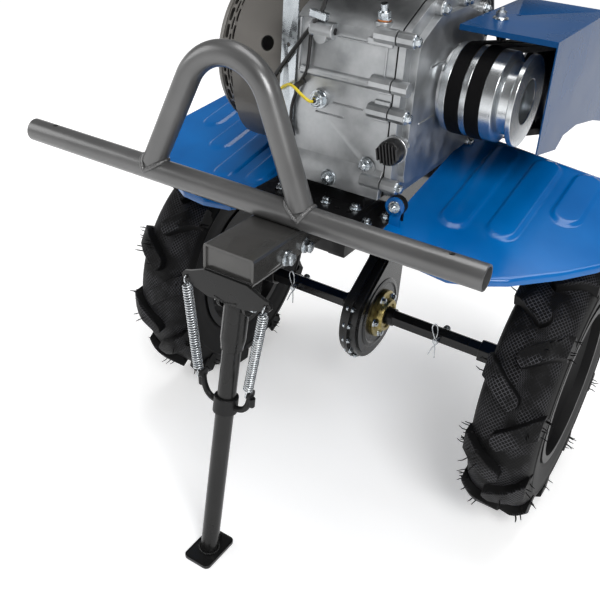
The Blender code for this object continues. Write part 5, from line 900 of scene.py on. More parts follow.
def makeCollar():
    # Collar with an arm and a button to each side, where the springs hook on
    bm = bmesh.new()
    down = (Vector(stand["bottom"]) - Vector(stand["top"])).normalized()
    inner, outer = stand["tube"] + 0.0003, stand["tube"] + 0.0043
    start, high = stand["collarAt"], stand["collarHeight"]
    outline = [(start, inner), (start, outer - 0.0008), (start + 0.0008, outer),
               (start + high - 0.0008, outer), (start + high, outer - 0.0008), (start + high, inner)]
    addSpin(bm, [(along, radius) for along, radius in outline], stand["top"], down, 48)
    for side in (-1, 1):
        tip = anchorSpot(side)
        root = alongLeg(start + high * 0.55, side * (outer - 0.002))
        arm = []
        for step in range(13):
            t = step / 12
            arm.append(Vector((root.x + (tip.x - root.x) * (1 - (1 - t) ** 1.6),
                               root.y + (tip.y - root.y) * t,
                               root.z + (tip.z - 0.001 - root.z) * (t ** 2.4))))
        addTube(bm, arm, 0.0046, 14)
        addBar(bm, tip - Vector((0.0032, 0, 0)), tip + Vector((0.0032, 0, 0)), 0.0075, 28)
        stem = tip + Vector((side * 0.0028, 0, 0))
        addBar(bm, stem - Vector((0, 0, 0.0062)), stem - Vector((0, 0, 0.0205)), 0.0052, 20, 0.0046)
    finishPiece(bm, "standCollar", "stand", "satinBlack", 0.0006, 2, 35, replaced=("stand_collar",))


def makeSpring(label, side):
    # Close-wound tension spring, 2.1 mm wire, with a round hook at each end
    wire = stand["springWire"]
    ear = Vector((bracket["middle"] + side * 0.064, bracket["front"] - 0.0056 - wire, 0.4525))
    low = anchorSpot(side) + Vector((0, -0.0075 - wire - 0.0003, 0))
    axis = (low - ear).normalized()
    span = (low - ear).length
    across = axis.cross(Vector((0, 1, 0))).normalized()
    other = axis.cross(across)
    hook = 0.0125
    winding = span - 2 * hook
    radius = stand["springRadius"]
    points = []
    hookTurns = [math.pi * 1.35 * step / 12 for step in range(13)]
    for turn in hookTurns:
        ring = -axis * math.cos(turn) * 0.0056 + other * math.sin(turn) * 0.0045 - other * 0.0004
        points.append(ear + axis * 0.0045 + ring)
    total = stand["springCurls"] * 14
    for step in range(total + 1):
        turn = 2 * math.pi * step / 14
        ring = across * math.cos(turn) + other * math.sin(turn)
        points.append(ear + axis * (hook + winding * step / total) + ring * radius)
    for turn in reversed(hookTurns):
        ring = axis * math.cos(turn) * 0.0056 + other * math.sin(turn) * 0.0045 - other * 0.0004
        points.append(low - axis * 0.0045 + ring)
    bm = bmesh.new()
    addTube(bm, points, wire, 8)
    piece = finishPiece(bm, "tensionSpring" + label, None, "springSteel", 0, 2, 60,
                        replaced=("stand_spring_" + label.lower(),))
    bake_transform(piece, "chassis", "stand", tuple(ear + shift), tuple(low + shift))


makeBumper()
softened("front_bracket", "bracketPaint", 0.001)
softened("stand_bracket", "darkPaint", 0.0008)
softened("stand_pivot_bolt", "zincPlate", 0.0005)
makeBracketFittings()
makeLeg()
makeCollar()
makeSpring("Left", 1)
makeSpring("Right", -1)
print("front done")


# Engine

engine = {"front": -0.195, "coverStart": 0.0808, "bottom": 0.54, "bossEnd": 0.1028, "boltAcross": 0.0112,
          "frontBosses": (0.564, 0.661, 0.697, 0.757), "frontBolts": (0.564, 0.661, 0.757),
          "coverBosses": ((-0.112, 0.783), (-0.036, 0.784), (0.04, 0.76), (0.064, 0.648),
                          (0.063, 0.556)),
          "bearingCircle": 0.05, "bearingBolts": 6, "sender": (-0.026, 0.659), "drain": (0.0, 0.554),
          "sidePlug": (0.0535, 0.586), "topPlug": (0.05, -0.181)}
axleLine = crankCentre
bearingSpots = ringSpots(*axleLine[1:], engine["bearingCircle"], engine["bearingBolts"], 20.0)


def makeCaseDetails():
    # Ribs, pads and the sump's foot that the casting has on its front
    front, bottom = engine["front"], engine["bottom"]
    bm = bmesh.new()
    addPlate(bm, [(front + 0.003, 0.5865), (front - 0.0075, 0.568), (front - 0.0075, bottom + 0.0006),
                  (front + 0.003, bottom + 0.0006)], -0.064, 0.0785, "YZ")
    # Ribs and pads: low and high x, low and high z, how far they stand out
    for left, right, low, high, proud in (
            (-0.007, 0.04, 0.656, 0.6582, 0.0016), (-0.033, 0.012, 0.6386, 0.6408, 0.0016),
            (-0.006, 0.073, 0.7425, 0.745, 0.0026), (0.038, 0.0735, 0.744, 0.752, 0.0045),
            (0.056, 0.0785, 0.648, 0.676, 0.003), (0.061, 0.0785, 0.685, 0.706, 0.004),
            (0.064, 0.0668, 0.706, 0.743, 0.0022), (-0.064, -0.061, 0.69, 0.76, 0.0026)):
        addBox(bm, (left, front - proud, low), (right, front + 0.002, high))
    for z in engine["frontBosses"]:
        addBar(bm, (0.052, front - 0.0015, z), (0.0786, front - 0.0015, z), 0.0098, 28)
    addBar(bm, (-0.044, front - 0.0025, 0.7495), (-0.01, front - 0.0025, 0.7495), 0.011, 32)
    addBar(bm, (*engine["topPlug"], 0.745), (*engine["topPlug"], 0.7705), 0.0115, 28)
    finishPiece(bm, "caseRibs", "chassis", "castAluminium", 0.0012, 3, 30)
    # A black disc on the boss's end stands for its hole: painted shade, not a cut
    bm = bmesh.new()
    addBar(bm, (-0.0106, front - 0.0025, 0.7495), (-0.0094, front - 0.0025, 0.7495), 0.0045, 20)
    finishPiece(bm, "bossHolePaintedShade", "chassis", "satinBlack")


def makeCoverDetails():
    # Bosses, bearing web and rim of the side cover
    start = engine["coverStart"]
    bm = bmesh.new()
    for y, z in engine["coverBosses"]:
        addBar(bm, (start, y, z), (start + 0.019, y, z), 0.01, 28)
    outline = [(start + 0.006, 0.057), (start + 0.0245, 0.052), (start + 0.025, 0.0505),
               (start + 0.0265, 0.036), (start + 0.0265, 0.024), (start + 0.006, 0.024)]
    addSpin(bm, outline, axleLine, (1, 0, 0), 72)
    for y, z in bearingSpots:
        # The foremost bolt has no boss of its own
        if abs(y + 0.1) > 0.004:
            addBar(bm, (start + 0.016, y, z), (start + 0.0225, y, z), 0.0075, 20)
    for y, z in ((-0.15, 0.64), (-0.135, 0.712)):
        addBox(bm, (start + 0.012, y, z - 0.0015), (start + 0.0215, y + 0.05, z + 0.0015))
    finishPiece(bm, "coverWebs", "chassis", "castAluminium", 0.0014, 3, 30)


def makeEngineBolts():
    # Flange bolts of the case and its cover, the sender's nut, the drain bolt and the sump plug
    start, front = engine["coverStart"], engine["front"]
    bm = bmesh.new()
    spots = [(engine["bossEnd"], front - 0.002, z) for z in engine["frontBolts"]]
    spots += [(start + 0.019, y, z) for y, z in engine["coverBosses"]]
    for spot in spots:
        addBolt(bm, spot, (1, 0, 0), engine["boltAcross"], 0.0062, 0.0088)
    for y, z in bearingSpots:
        addBolt(bm, (start + 0.0225, y, z), (1, 0, 0), 0.0088, 0.0045)
    x, z = engine["sender"]
    addBar(bm, (x, front - 0.0043, z), (x, front - 0.0066, z), 0.0128, 36)
    addBolt(bm, (x, front - 0.0064, z), (0, -1, 0), 0.0195, 0.0078)
    addBar(bm, (x, front - 0.014, z), (x, front - 0.0185, z), 0.0062, 24, 0.0052)
    x, z = engine["drain"]
    addBar(bm, (x, front - 0.0075, z), (x, front - 0.0105, z), 0.0118, 36, 0.0112)
    addBolt(bm, (x, front - 0.0103, z), (0, -1, 0), 0.0135, 0.0085)
    x, z = engine["sidePlug"]
    addBar(bm, (x, front - 0.002, z), (x, front - 0.009, z), 0.0095, 28, 0.0085)
    addBolt(bm, (x, front - 0.0085, z), (0, -1, 0), 0.01, 0.006, 0.0078)
    x, y = engine["topPlug"]
    addBolt(bm, (x, y, 0.7729), (0.0, -0.25, 1.0), 0.0142, 0.01, 0.0092)
    addBar(bm, (x, y - 0.0025, 0.7825), (x, y - 0.0055, 0.7925), 0.0048, 20)
    finishPiece(bm, "engineBolts", "chassis", "zincPlate", 0.0003, 1, 35,
                replaced=("oil_level_sender",))
    bm = bmesh.new()
    addSpin(bm, [(0.0, 0.0052), (0.0, 0.0086), (0.0004, 0.009), (0.0018, 0.009), (0.0022, 0.0086),
                 (0.0022, 0.0052)], (x, y, 0.7706), (0, 0, 1), 36)
    finishPiece(bm, "copperSeal", "chassis", "copperWasher")


oilCap = {"spot": (0.0926, -0.2013, 0.616), "ridges": 7, "ridgePitch": 0.0046, "ridgeReach": 0.0164,
          "lean": -12}


def makeCap():
    # Oil filler cap with parallel ridges across its face, on the cover's neck
    x, y, z = oilCap["spot"]
    bm = bmesh.new()
    addSpin(bm, [(0.0003, 0.0), (0.0003, 0.016), (0.0012, 0.0172), (0.012, 0.0172), (0.015, 0.016),
                 (0.016, 0.013), (0.016, 0.0)], (x, y, z), (0, -1, 0), 48)
    lean = Matrix.Rotation(math.radians(oilCap["lean"]), 4, "Y")
    for index in range(oilCap["ridges"]):
        away = (index - oilCap["ridges"] // 2) * oilCap["ridgePitch"]
        half = math.sqrt(oilCap["ridgeReach"] ** 2 - away ** 2)
        before = set(bm.verts)
        for vert in addBox(bm, (-0.0011, -0.0215, -half), (0.0011, -0.012, half)):
            if vert.co.y < -0.02:
                vert.co.z *= 0.86
        place = Matrix.Translation((x, y + 0.001, z)) @ lean @ Matrix.Translation((away, 0, 0))
        placed(bm, before, place)
    addBar(bm, (x, y + 0.001, z), (x, y, z), 0.0165, 36)
    addBar(bm, (x, y + 0.018, z), (x, y + 0.0005, z), 0.0068, 24)
    finishPiece(bm, "fillerCapRidged", "filler_cap", "blackPlastic", 0.0006, 2, 35,
                replaced=("oil_filler_cap",))
    bm = bmesh.new()
    addSpin(bm, [(0.0, 0.011), (0.0, 0.0185), (0.0012, 0.019), (0.0042, 0.019), (0.0048, 0.0184),
                 (0.0048, 0.011)], (x, y + 0.0053, z), (0, -1, 0), 48)
    finishPiece(bm, "fillerNeck", "chassis", "castAluminium")


deck = {"left": 0.051, "right": -0.107, "front": -0.2317, "rear": 0.2, "top": 0.5148, "railFoot": 0.4545,
        "sheet": 0.005, "flange": 0.026, "noseBolts": (-0.3205, -0.274),
        "frontHoles": (-0.08, -0.045, 0.02, 0.04)}


def makeFrame():
    # Two flanged rails under a folded deck, with the wings that carry the mudguards
    left, right, front, rear, top, foot, sheet, flange = (deck[key] for key in (
        "left", "right", "front", "rear", "top", "railFoot", "sheet", "flange"))
    bm = bmesh.new()
    addBox(bm, (right - 0.0015, front, top - 0.006), (left + 0.0015, 0.14, top))
    for x, way in ((left, -1), (right, 1)):
        for wide, high in ((sheet, top - 0.004), (flange, foot + sheet)):
            addBox(bm, (min(x, x + way * wide), front, foot), (max(x, x + way * wide), rear, high))
    addBox(bm, (right + 0.001, front, 0.4555), (left - 0.001, front + 0.008, top - 0.005))
    addBox(bm, (-0.0637, -0.3475, 0.4728), (0.0077, front + 0.004, 0.5042))
    for y in (-0.165, 0.0995):
        addBox(bm, (-0.096, y - 0.019, top - 0.001), (0.05, y + 0.019, 0.5397))
    for low, high, level in ((left - 0.001, 0.0898, 0.4975), (-0.13, right + 0.001, 0.4895)):
        for start, end in ((front, -0.12), (0.06, 0.136)):
            addBox(bm, (low, start, level), (high, end, level + 0.0055))
            addBox(bm, (low, start, 0.478), (high, start + 0.005, level + 0.001))
    holes = bmesh.new()
    for y in deck["noseBolts"]:
        addBar(holes, (-0.1, y, 0.48), (0.05, y, 0.48), 0.0053, 24)
    for x in deck["frontHoles"]:
        addBar(holes, (x, -0.208, 0.5), (x, -0.208, 0.53), 0.0045, 20)
    bm = carved(bm, holes)
    finishPiece(bm, "frameFolded", "chassis", "blackEnamel", 0.0009, 2, 35, replaced=("engine_frame",))
    bm = bmesh.new()
    for x, y, z in ((-0.002, -0.2, top), (0.042, -0.1935, top), (0.066, -0.203, 0.503),
                    (0.078, -0.17, 0.503), (-0.078, -0.2, top)):
        addBolt(bm, (x, y, z), (0, 0, 1), 0.011, 0.0062, 0.0086)
    finishPiece(bm, "frameBolts", "chassis", "zincPlate", 0.0003, 1, 35)


def makeWires():
    # The sender's yellow wire, a dark wire beside it and the throttle cable's sleeve with its clamp
    x, z = engine["sender"]
    nose = engine["front"] - 0.0186
    bm = bmesh.new()
    route = fromSpot((x, nose, z), (
        (0.0, 0.002, 0.0), (-0.003, -0.006, 0.001), (-0.014, -0.009, 0.008), (-0.027, -0.006, 0.014),
        (-0.04, 0.001, 0.014), (-0.052, 0.006, 0.008), (-0.06, 0.009, 0.001)))
    addTube(bm, smoothPath(route, 7), 0.0021, 12)
    finishPiece(bm, "senderWire", "chassis", "yellowCover", replaced=("sender_wire",))
    bm = bmesh.new()
    addBar(bm, (x, nose + 0.0012, z), (x, nose - 0.0022, z), 0.0034, 20, 0.0026)
    y = engine["front"] - 0.0052
    route = [(-0.0445, y, 0.74), (-0.0455, y, 0.715), (-0.048, y, 0.692), (-0.056, y - 0.001, 0.676),
             (-0.062, y - 0.001, 0.66), (-0.068, y, 0.64), (-0.0685, y, 0.618), (-0.062, y, 0.598)]
    addTube(bm, smoothPath(route, 6), 0.0023, 12)
    place = Matrix.Translation((-0.0555, y - 0.002, 0.6745)) @ Matrix.Rotation(math.radians(-38), 4, "Y")
    before = set(bm.verts)
    addBox(bm, (-0.0085, -0.0032, -0.0036), (0.0085, 0.0032, 0.0036))
    placed(bm, before, place)
    finishPiece(bm, "plugWire", "chassis", "wireCover", 0.0005, 2, 40)
    bm = bmesh.new()
    y = -0.2023
    route = fromSpot((-0.027, y, 0.743), (
        (0.006, 0.03, 0.105), (0.004, 0.006, 0.072), (-0.002, 0.0, 0.03), (-0.03, 0.0, -0.01),
        (-0.06, 0.0, -0.052), (-0.078, 0.0, -0.08), (-0.088, 0.006, -0.1)))
    addTube(bm, smoothPath(route, 8), 0.003, 16)
    finishPiece(bm, "throttleSleeve", "chassis", "wireCover", replaced=("throttle_cable",))
    bm = bmesh.new()
    place = Matrix.Translation((-0.0325, y + 0.0002, 0.768)) @ Matrix.Rotation(math.radians(8), 4, "Y")
    addBox(bm, (-0.0125, -0.0052, -0.0048), (0.0125, 0.005, 0.0048))
    placed(bm, set(), place)
    finishPiece(bm, "cableClamp", "chassis", "zincPlate", 0.0012, 3, 40)


shroud = {"left": -0.0738, "right": -0.1858, "radius": 0.13, "wall": 0.003, "recoilRadius": 0.119,
          "recoilEnd": -0.2261, "slots": 30, "swell": 0.085, "holeSpot": (-0.1743, 0.7095),
          "holeRadius": 0.0108}


def makeShroud():
    # Drum round the flywheel with a grommet in its side and a duct to the cylinder
    left, right, radius, wall = (shroud[key] for key in ("left", "right", "radius", "wall"))
    bm = bmesh.new()
    outline = [(left, 0.03), (left, radius - 0.011), (left - 0.0012, radius - 0.0058),
               (left - 0.0044, radius - 0.0018), (left - 0.01, radius), (right + 0.001, radius),
               (right, radius - 0.001), (right, radius - wall), (left - 0.0104, radius - wall),
               (left - 0.0045, radius - 0.0065), (left - wall, radius - 0.011), (left - wall, 0.03)]
    addSpin(bm, outline, axleLine, (1, 0, 0), 112)
    for vert in bm.verts:
        # The housing's lower half is squarer than a circle
        y, z = vert.co.y - axleLine[1], vert.co.z - axleLine[2]
        if z < 0:
            swell = 1 + shroud["swell"] * math.sin(2 * math.atan2(z, y)) ** 2
            vert.co.y, vert.co.z = axleLine[1] + y * swell, axleLine[2] + z * swell
    cutter = bmesh.new()
    y, z = shroud["holeSpot"]
    out = Vector((0, y - axleLine[1], z - axleLine[2])).normalized()
    spot = Vector((-0.13, axleLine[1], axleLine[2]))
    addBar(cutter, spot + out * 0.11, spot + out * 0.14, shroud["holeRadius"], 36)
    bm = carved(bm, cutter)
    # Hollow duct from the drum to the cylinder
    duct = bmesh.new()
    low, high = (right + 0.02, -0.05, 0.681), (left - 0.0005, 0.14, 0.7646)
    addBox(duct, low, high)
    bmesh.ops.bevel(duct, geom=duct.edges[:], offset=0.006, segments=3, affect="EDGES", profile=0.5,
                    material=-1)
    hollow = bmesh.new()
    addBox(hollow, (low[0] + wall, -0.09, low[2] + wall), (high[0] - wall, 0.15, high[2] - wall))
    addBar(hollow, (right - 0.01, *axleLine[1:]), (left - wall, *axleLine[1:]), radius - wall, 64)
    duct = carved(duct, hollow)
    mesh = bpy.data.meshes.new("duct")
    duct.to_mesh(mesh)
    duct.free()
    bm.from_mesh(mesh)
    finishPiece(bm, "blowerHousing", "chassis", "shroudPaint", 0, 2, 35, replaced=("fan_shroud",))
    bm = bmesh.new()
    middle = spot + out * (radius - 0.0022)
    ring = [middle + Matrix.Rotation(2 * math.pi * step / 40, 3, out) @ Vector((0.0104, 0, 0))
            for step in range(41)]
    addTube(bm, ring, 0.0011, 10)
    finishPiece(bm, "housingGrommet", "chassis", "sealRubber")


def makeLabel():
    # Bare label place: a thin satin plate that follows the drum
    bm = bmesh.new()
    bmesh.ops.create_grid(bm, x_segments=16, y_segments=12, size=0.5)
    radius = shroud["radius"] + 0.00025
    for vert in bm.verts:
        u, v = vert.co.x, vert.co.y
        turn = math.radians(180 + 25.4) + v * 0.0262 / radius
        vert.co = (-0.1405 + u * 0.027 + v * -0.0035, axleLine[1] + radius * math.cos(turn),
                   axleLine[2] + radius * math.sin(turn))
    bmesh.ops.solidify(bm, geom=bm.faces[:], thickness=-0.0005)
    finishPiece(bm, "bareLabelPlate", "chassis", "bareLabel")


def makeRecoil():
    # Pull starter's housing: a dished end and a rim with rows of punched air slots
    start, end, radius = shroud["right"] - 0.0003, shroud["recoilEnd"], shroud["recoilRadius"]
    wall = 0.0026
    bm = bmesh.new()
    addSpin(bm, [(start, radius - wall), (start, 0.128), (start - wall, 0.128),
                 (start - wall, radius + 0.001), (start - 0.005, radius), (start - 0.0062, radius),
                 (start - 0.0062, radius - wall)], axleLine, (1, 0, 0), 112)
    addSpin(bm, [(end + 0.012, radius), (end + 0.008, radius - 0.0004), (end + 0.003, radius - 0.004),
                 (end + 0.0005, radius - 0.01), (end, radius - 0.014), (end, 0.052), (end + 0.004, 0.046),
                 (end + 0.004, 0.0), (end + 0.0068, 0.0), (end + 0.0068, 0.046), (end + wall, 0.052),
                 (end + wall, radius - 0.014), (end + 0.004, radius - 0.008),
                 (end + 0.0085, radius - wall), (end + 0.012, radius - wall)], axleLine, (1, 0, 0), 112)
    addSpin(bm, [(-0.02, 0.0045), (-0.02, 0.01), (-0.001, 0.01), (0.0, 0.009), (0.0, 0.0045)],
            (-0.2061, -0.005, 0.7846), (0, 0, 1), 32)
    finishPiece(bm, "starterHousing", "chassis", "shroudPaint", 0, 2, 35, replaced=("recoil_cover",))
    bm = bmesh.new()
    around = shroud["slots"] * 4
    low, high = end + 0.0116, start - 0.0058
    columns = 9
    bmesh.ops.create_grid(bm, x_segments=columns, y_segments=around, size=0.5)
    holes = []
    for face in bm.faces:
        # Three cells of four are open; the middle row's slots stand half a pitch on
        centre = face.calc_center_median()
        column = int((centre.x + 0.5) * columns)
        row = int((centre.y + 0.5) * around) + (2 if column == 4 else 0)
        if column in (1, 2, 4, 6, 7) and row % 4 < 3:
            holes.append(face)
    bmesh.ops.delete(bm, geom=holes, context="FACES")
    for vert in bm.verts:
        turn = 2 * math.pi * (vert.co.y + 0.5)
        vert.co = (low + (vert.co.x + 0.5) * (high - low),
                   axleLine[1] + (radius - wall / 2) * math.cos(turn),
                   axleLine[2] + (radius - wall / 2) * math.sin(turn))
    bmesh.ops.remove_doubles(bm, verts=bm.verts, dist=1e-6)
    bmesh.ops.recalc_face_normals(bm, faces=bm.faces)
    bmesh.ops.solidify(bm, geom=bm.faces[:], thickness=wall * 0.8)
    finishPiece(bm, "starterRim", "chassis", "shroudPaint", 0, 2, 40, soften=1)


softened("crankcase", "castAluminium", 0.0016, 3)
softened("crankcase_cover", "castAluminium", 0.0014, 3)
paintNode("crankcase_gasket", "sealRubber")
softened("cylinder_head", "castGrey", 0.0008)
softened("rocker_cover", "blackEnamel", 0.0016, 3)
softened("control_plate", "zincPlate", 0.0006)
softened("crankshaft", "zincPlate", 0.0006)
softened("flywheel", "castGrey", 0.0006)
makeFrame()
makeCaseDetails()
makeCoverDetails()
makeEngineBolts()
makeCap()
makeWires()
makeShroud()
makeLabel()
makeRecoil()
print("engine done")


# Belt drive, chain case and gearbox

drive = {"pulleyRadius": 0.062, "pulleyWidth": 0.103, "grooveDepth": 0.013,
         "beltWidth": 0.02, "beltDepth": 0.0105, "beltProud": 0.0012, "taper": 0.3,
         "drivenRadius": 0.075, "start": 0.1083, "bore": 0.03, "recess": 0.034, "lip": 0.0006}
grooves = (0.1275, 0.1565, 0.194)


def groovedOutline(start, end, radius, bore, places, recess, hollow=None):
    # Section of a V-belt pulley: lips with a small chamfer, V grooves and a hollow outer face
    mouth = drive["beltWidth"] / 2 - drive["beltProud"] * drive["taper"] + 0.0005
    floor = mouth - drive["grooveDepth"] * drive["taper"]
    lip = drive["lip"]
    outline = [(start, bore), (start, radius - lip), (start + lip, radius)]
    for centre in places:
        half = [(mouth + lip, radius), (mouth, radius - lip), (floor, radius - drive["grooveDepth"])]
        outline += [(centre - across, height) for across, height in half]
        outline += [(centre + across, height) for across, height in reversed(half)]
    outline += [(end - lip, radius), (end, radius - lip)]
    if hollow:
        outline += [(end, hollow + 0.001), (end - 0.001, hollow), (end - recess, hollow),
                    (end - recess, bore)]
    else:
        outline += [(end, radius * 0.74), (end - 0.0016, radius * 0.715), (end - recess, radius * 0.62),
                    (end - recess, 0.026), (end - recess + 0.012, 0.0245), (end - recess + 0.012, bore)]
    return outline


def makePulleys():
    # Three-groove pulley on the crankshaft and two-groove pulley on the gearbox's shaft
    bm = bmesh.new()
    start, recess = drive["start"], drive["recess"]
    addSpin(bm, groovedOutline(start, start + drive["pulleyWidth"], drive["pulleyRadius"], 0.013, grooves,
                               recess, drive["bore"]), axleLine, (1, 0, 0), 128)
    end = start + drive["pulleyWidth"] - recess
    addBar(bm, (end - 0.0005, *axleLine[1:]), (end + 0.0012, *axleLine[1:]), 0.0165, 40)
    addBolt(bm, (end + 0.001, *axleLine[1:]), (1, 0, 0), 0.017, 0.007)
    finishPiece(bm, "enginePulleyTurned", "crank", "pulleyMetal", 0.0003, 2, 28,
                replaced=("engine_pulley",))
    bm = bmesh.new()
    first = grooves[0] - drive["beltWidth"] / 2 - 0.005
    last = grooves[1] + drive["beltWidth"] / 2 + 0.005
    addSpin(bm, groovedOutline(first, last, drive["drivenRadius"], 0.0128, grooves[:2], 0.01),
            drivenCentre, (1, 0, 0), 128)
    # Its dark finish is painted shade, not the metal's own colour
    finishPiece(bm, "drivenPulleyTurned", "driven", "drivenMetalPaintedShade", 0.0003, 2, 28,
                replaced=("driven_pulley",))


def beltLine(offset):
    # Round both pulleys at an offset from their rims
    steps = 56
    front, back = Vector(crankCentre[1:]), Vector(drivenCentre[1:])
    small, large = drive["pulleyRadius"] + offset, drive["drivenRadius"] + offset
    line = back - front
    base = math.atan2(line.y, line.x)
    lean = math.acos((small - large) / line.length)
    points = []
    for centre, radius, first, sweep in ((front, small, base + lean, 2 * math.pi - 2 * lean),
                                         (back, large, base - lean, 2 * lean)):
        for step in range(steps + 1):
            turn = first + sweep * step / steps
            points.append((centre.x + radius * math.cos(turn), centre.y + radius * math.sin(turn)))
    return points


def makeBelt(name, node, x):
    # Wrapped V belt: four edge loops bridged into a ring of trapezium section
    proud, depth, half = drive["beltProud"], drive["beltDepth"], drive["beltWidth"] / 2
    low = half - depth * drive["taper"]
    bm = bmesh.new()
    loops = []
    for offset, across in ((proud, -half), (proud, half), (proud - depth, low), (proud - depth, -low)):
        verts = [bm.verts.new((x + across, *point)) for point in beltLine(offset)]
        loops.append([bm.edges.new(pair) for pair in zip(verts, verts[1:] + verts[:1])])
    for index in range(4):
        bmesh.ops.bridge_loops(bm, edges=loops[index] + loops[(index + 1) % 4])
    finishPiece(bm, name, "chassis", "beltRubber", 0.0009, 2, 30, replaced=(node,))


chainCase = {"middle": -0.006, "upper": (0.12, 0.4), "boltCircle": 0.0882, "bolts": 9,
             "flangeCircle": 0.035, "flangeBolts": 5}


def makeChainCase():
    # Pressed chain case: two dished halves joined at a flange, with stepped rings round the axle
    low, high = Vector((0.0, axleHeight)), Vector(chainCase["upper"])
    along = (high - low).normalized()
    across = Vector((-along.y, along.x))
    start = math.atan2(across.y, across.x)
    x = chainCase["middle"]

    def outline(radius):
        # Round the axle, then up a narrower neck
        points = []
        for step in range(49):
            turn = start + math.pi * step / 48
            points.append((low.x + radius * math.cos(turn), low.y + radius * math.sin(turn)))
        neck = across * (radius * 0.62)
        root = low + along * radius * 1.05
        return points + [tuple(point) for point in (root - neck, high - neck, high + neck, root + neck)]

    bm = bmesh.new()
    for radius, half in ((0.085, 0.0155), (0.091, 0.003), (0.078, 0.019)):
        addPlate(bm, outline(radius), x - half, x + half, "YZ")
    for side in (-1, 1):
        rings = ((0.0185, 0.02), (0.0185, 0.066), (0.0205, 0.064), (0.0215, 0.058), (0.0195, 0.055),
                 (0.0195, 0.02))
        addSpin(bm, [(side * out, radius) for out, radius in rings], (x, 0.0, axleHeight), (1, 0, 0), 80)
    bore = bmesh.new()
    addBar(bore, (x - 0.05, 0, axleHeight), (x + 0.05, 0, axleHeight), 0.0166, 40)
    addBox(bore, (-0.2, 0.0747, 0.0), (0.2, 0.4, 0.6))
    bm = carved(bm, bore)
    finishPiece(bm, "chainCasePressed", "chassis", "blackEnamel", 0.0014, 3, 30, replaced=("chain_case",))
    bm = bmesh.new()
    circle, count = chainCase["boltCircle"], chainCase["bolts"]
    for index in range(count):
        turn = start + math.pi * (index + 0.5) / count
        y, z = circle * math.cos(turn), axleHeight + circle * math.sin(turn)
        for side in (-1, 1):
            addBolt(bm, (x + side * 0.003, y * 0.985, z), (side, 0, 0), 0.007, 0.0035, 0.005)
    for side in (-1, 1):
        for y, z in ringSpots(0.0, axleHeight, chainCase["flangeCircle"], chainCase["flangeBolts"], 110.0):
            addBolt(bm, (x + side * 0.0265, y, z), (side, 0, 0), 0.0105, 0.0055, 0.008)
    finishPiece(bm, "chainCaseBolts", "chassis", "zincPlate", 0.0002, 1, 35)


def makeAxleFlanges():
    # Turned flange and hub on each side of the chain case
    near, bore = 0.0193, 0.017
    outline = [(0.0, bore), (0.0, 0.0424), (0.0006, 0.043), (0.0064, 0.043), (0.0072, 0.042),
               (0.0075, 0.033), (0.0095, 0.0308), (0.0165, 0.0292), (0.018, 0.028), (0.018, 0.0225),
               (0.015, 0.0215), (0.015, bore)]
    for label, side in (("left", 1), ("right", -1)):
        bm = bmesh.new()
        addSpin(bm, [(side * (near + along), radius) for along, radius in outline],
                (chainCase["middle"], 0, axleHeight), (1, 0, 0), 72)
        finishPiece(bm, "axleFlangeTurned" + label.capitalize(), "chassis", "yellowZinc", 0, 2, 30,
                    replaced=("axle_flange_" + label,))


makePulleys()
makeBelt("beltOuterWrapped", "belt_outer", grooves[1])
makeBelt("beltInnerWrapped", "belt_inner", grooves[0])
makeChainCase()
makeAxleFlanges()
softened("gearbox", "blackEnamel", 0.003, 3)
softened("input_shaft", "zincPlate", 0.0005)
softened("idler_arm", "blackEnamel", 0.0008)
softened("idler_roller", "castGrey", 0.0008)
print("drive done")


# Mudguards and belt cover

guard = {
    "fold": 0.1,                         # y of the crest
    "crest": 0.016,                        # half the length over which it is rounded
    "rear": 0.215, "sheet": 0.002, "height": 0.54,
    "rise": math.tan(math.radians(12)),    # slope in front of the crest
    "fall": 0.8,                          # slope behind it
    "droop": 0.105,                        # slope towards the outer edge
    "width": 0.29, "ribRise": 0.0036, "ribEdge": 0.005, "columns": 122, "rows": 108,
    # Turned-down edge, from its lower rim up: distance from the edge and drop
    "roll": ((0.0, -0.0095), (0.0, -0.0052), (0.0004, -0.003), (0.0014, -0.0013), (0.003, -0.0003),
             (0.0052, 0.0)),
}
# Front edge: distance from the inner edge and y; ribs: distance of the middle, first and last y, half width
guardSides = {
    "Left": {"side": 1, "inner": 0.0908,
             "front": [(0.0, -0.22), (0.03, -0.233), (0.115, -0.233), (0.151, -0.216),
                       (0.185, -0.193), (0.215, -0.164), (0.24, -0.14), (0.274, -0.1),
                       (0.29, -0.072)],
             "ribs": [(0.0715, -0.118, 0.066, 0.0235), (0.1376, -0.103, 0.066, 0.0235),
                      (0.2021, -0.022, 0.066, 0.0235)]},
    "Right": {"side": -1, "inner": -0.117,
              "front": [(0.0, -0.23), (0.02, -0.248), (0.068, -0.2495), (0.115, -0.239),
                        (0.151, -0.217), (0.196, -0.178), (0.231, -0.14), (0.27, -0.088),
                        (0.29, -0.04)],
              "ribs": [(0.027, -0.165, 0.066, 0.02), (0.087, -0.166, 0.066, 0.022),
                       (0.152, -0.094, 0.066, 0.022), (0.216, -0.03, 0.066, 0.021)]},
}


def frontEdge(line, away):
    # y of the front edge, from pairs of distance from the inner edge and y
    for (x0, y0), (x1, y1) in zip(line, line[1:]):
        if away <= x1:
            return y0 + (y1 - y0) * (away - x0) / (x1 - x0)
    return line[-1][1]


def guardTop(away, y):
    # Top of the sheet: it rises to a rounded crest, falls to the rear and droops towards its outer edge
    half, rise, fall = guard["crest"], guard["rise"], guard["fall"]
    crest = guard["height"] + rise * guard["fold"]
    past = y - guard["fold"]
    if past < -half:
        z = guard["height"] + rise * y
    elif past > half:
        z = crest - past * fall
    else:
        t = (past + half) / (2 * half)
        z = (1 - t) ** 2 * (crest - rise * half) + 2 * t * (1 - t) * crest + t ** 2 * (crest - fall * half)
    return z + guard["sheet"] - away * guard["droop"]


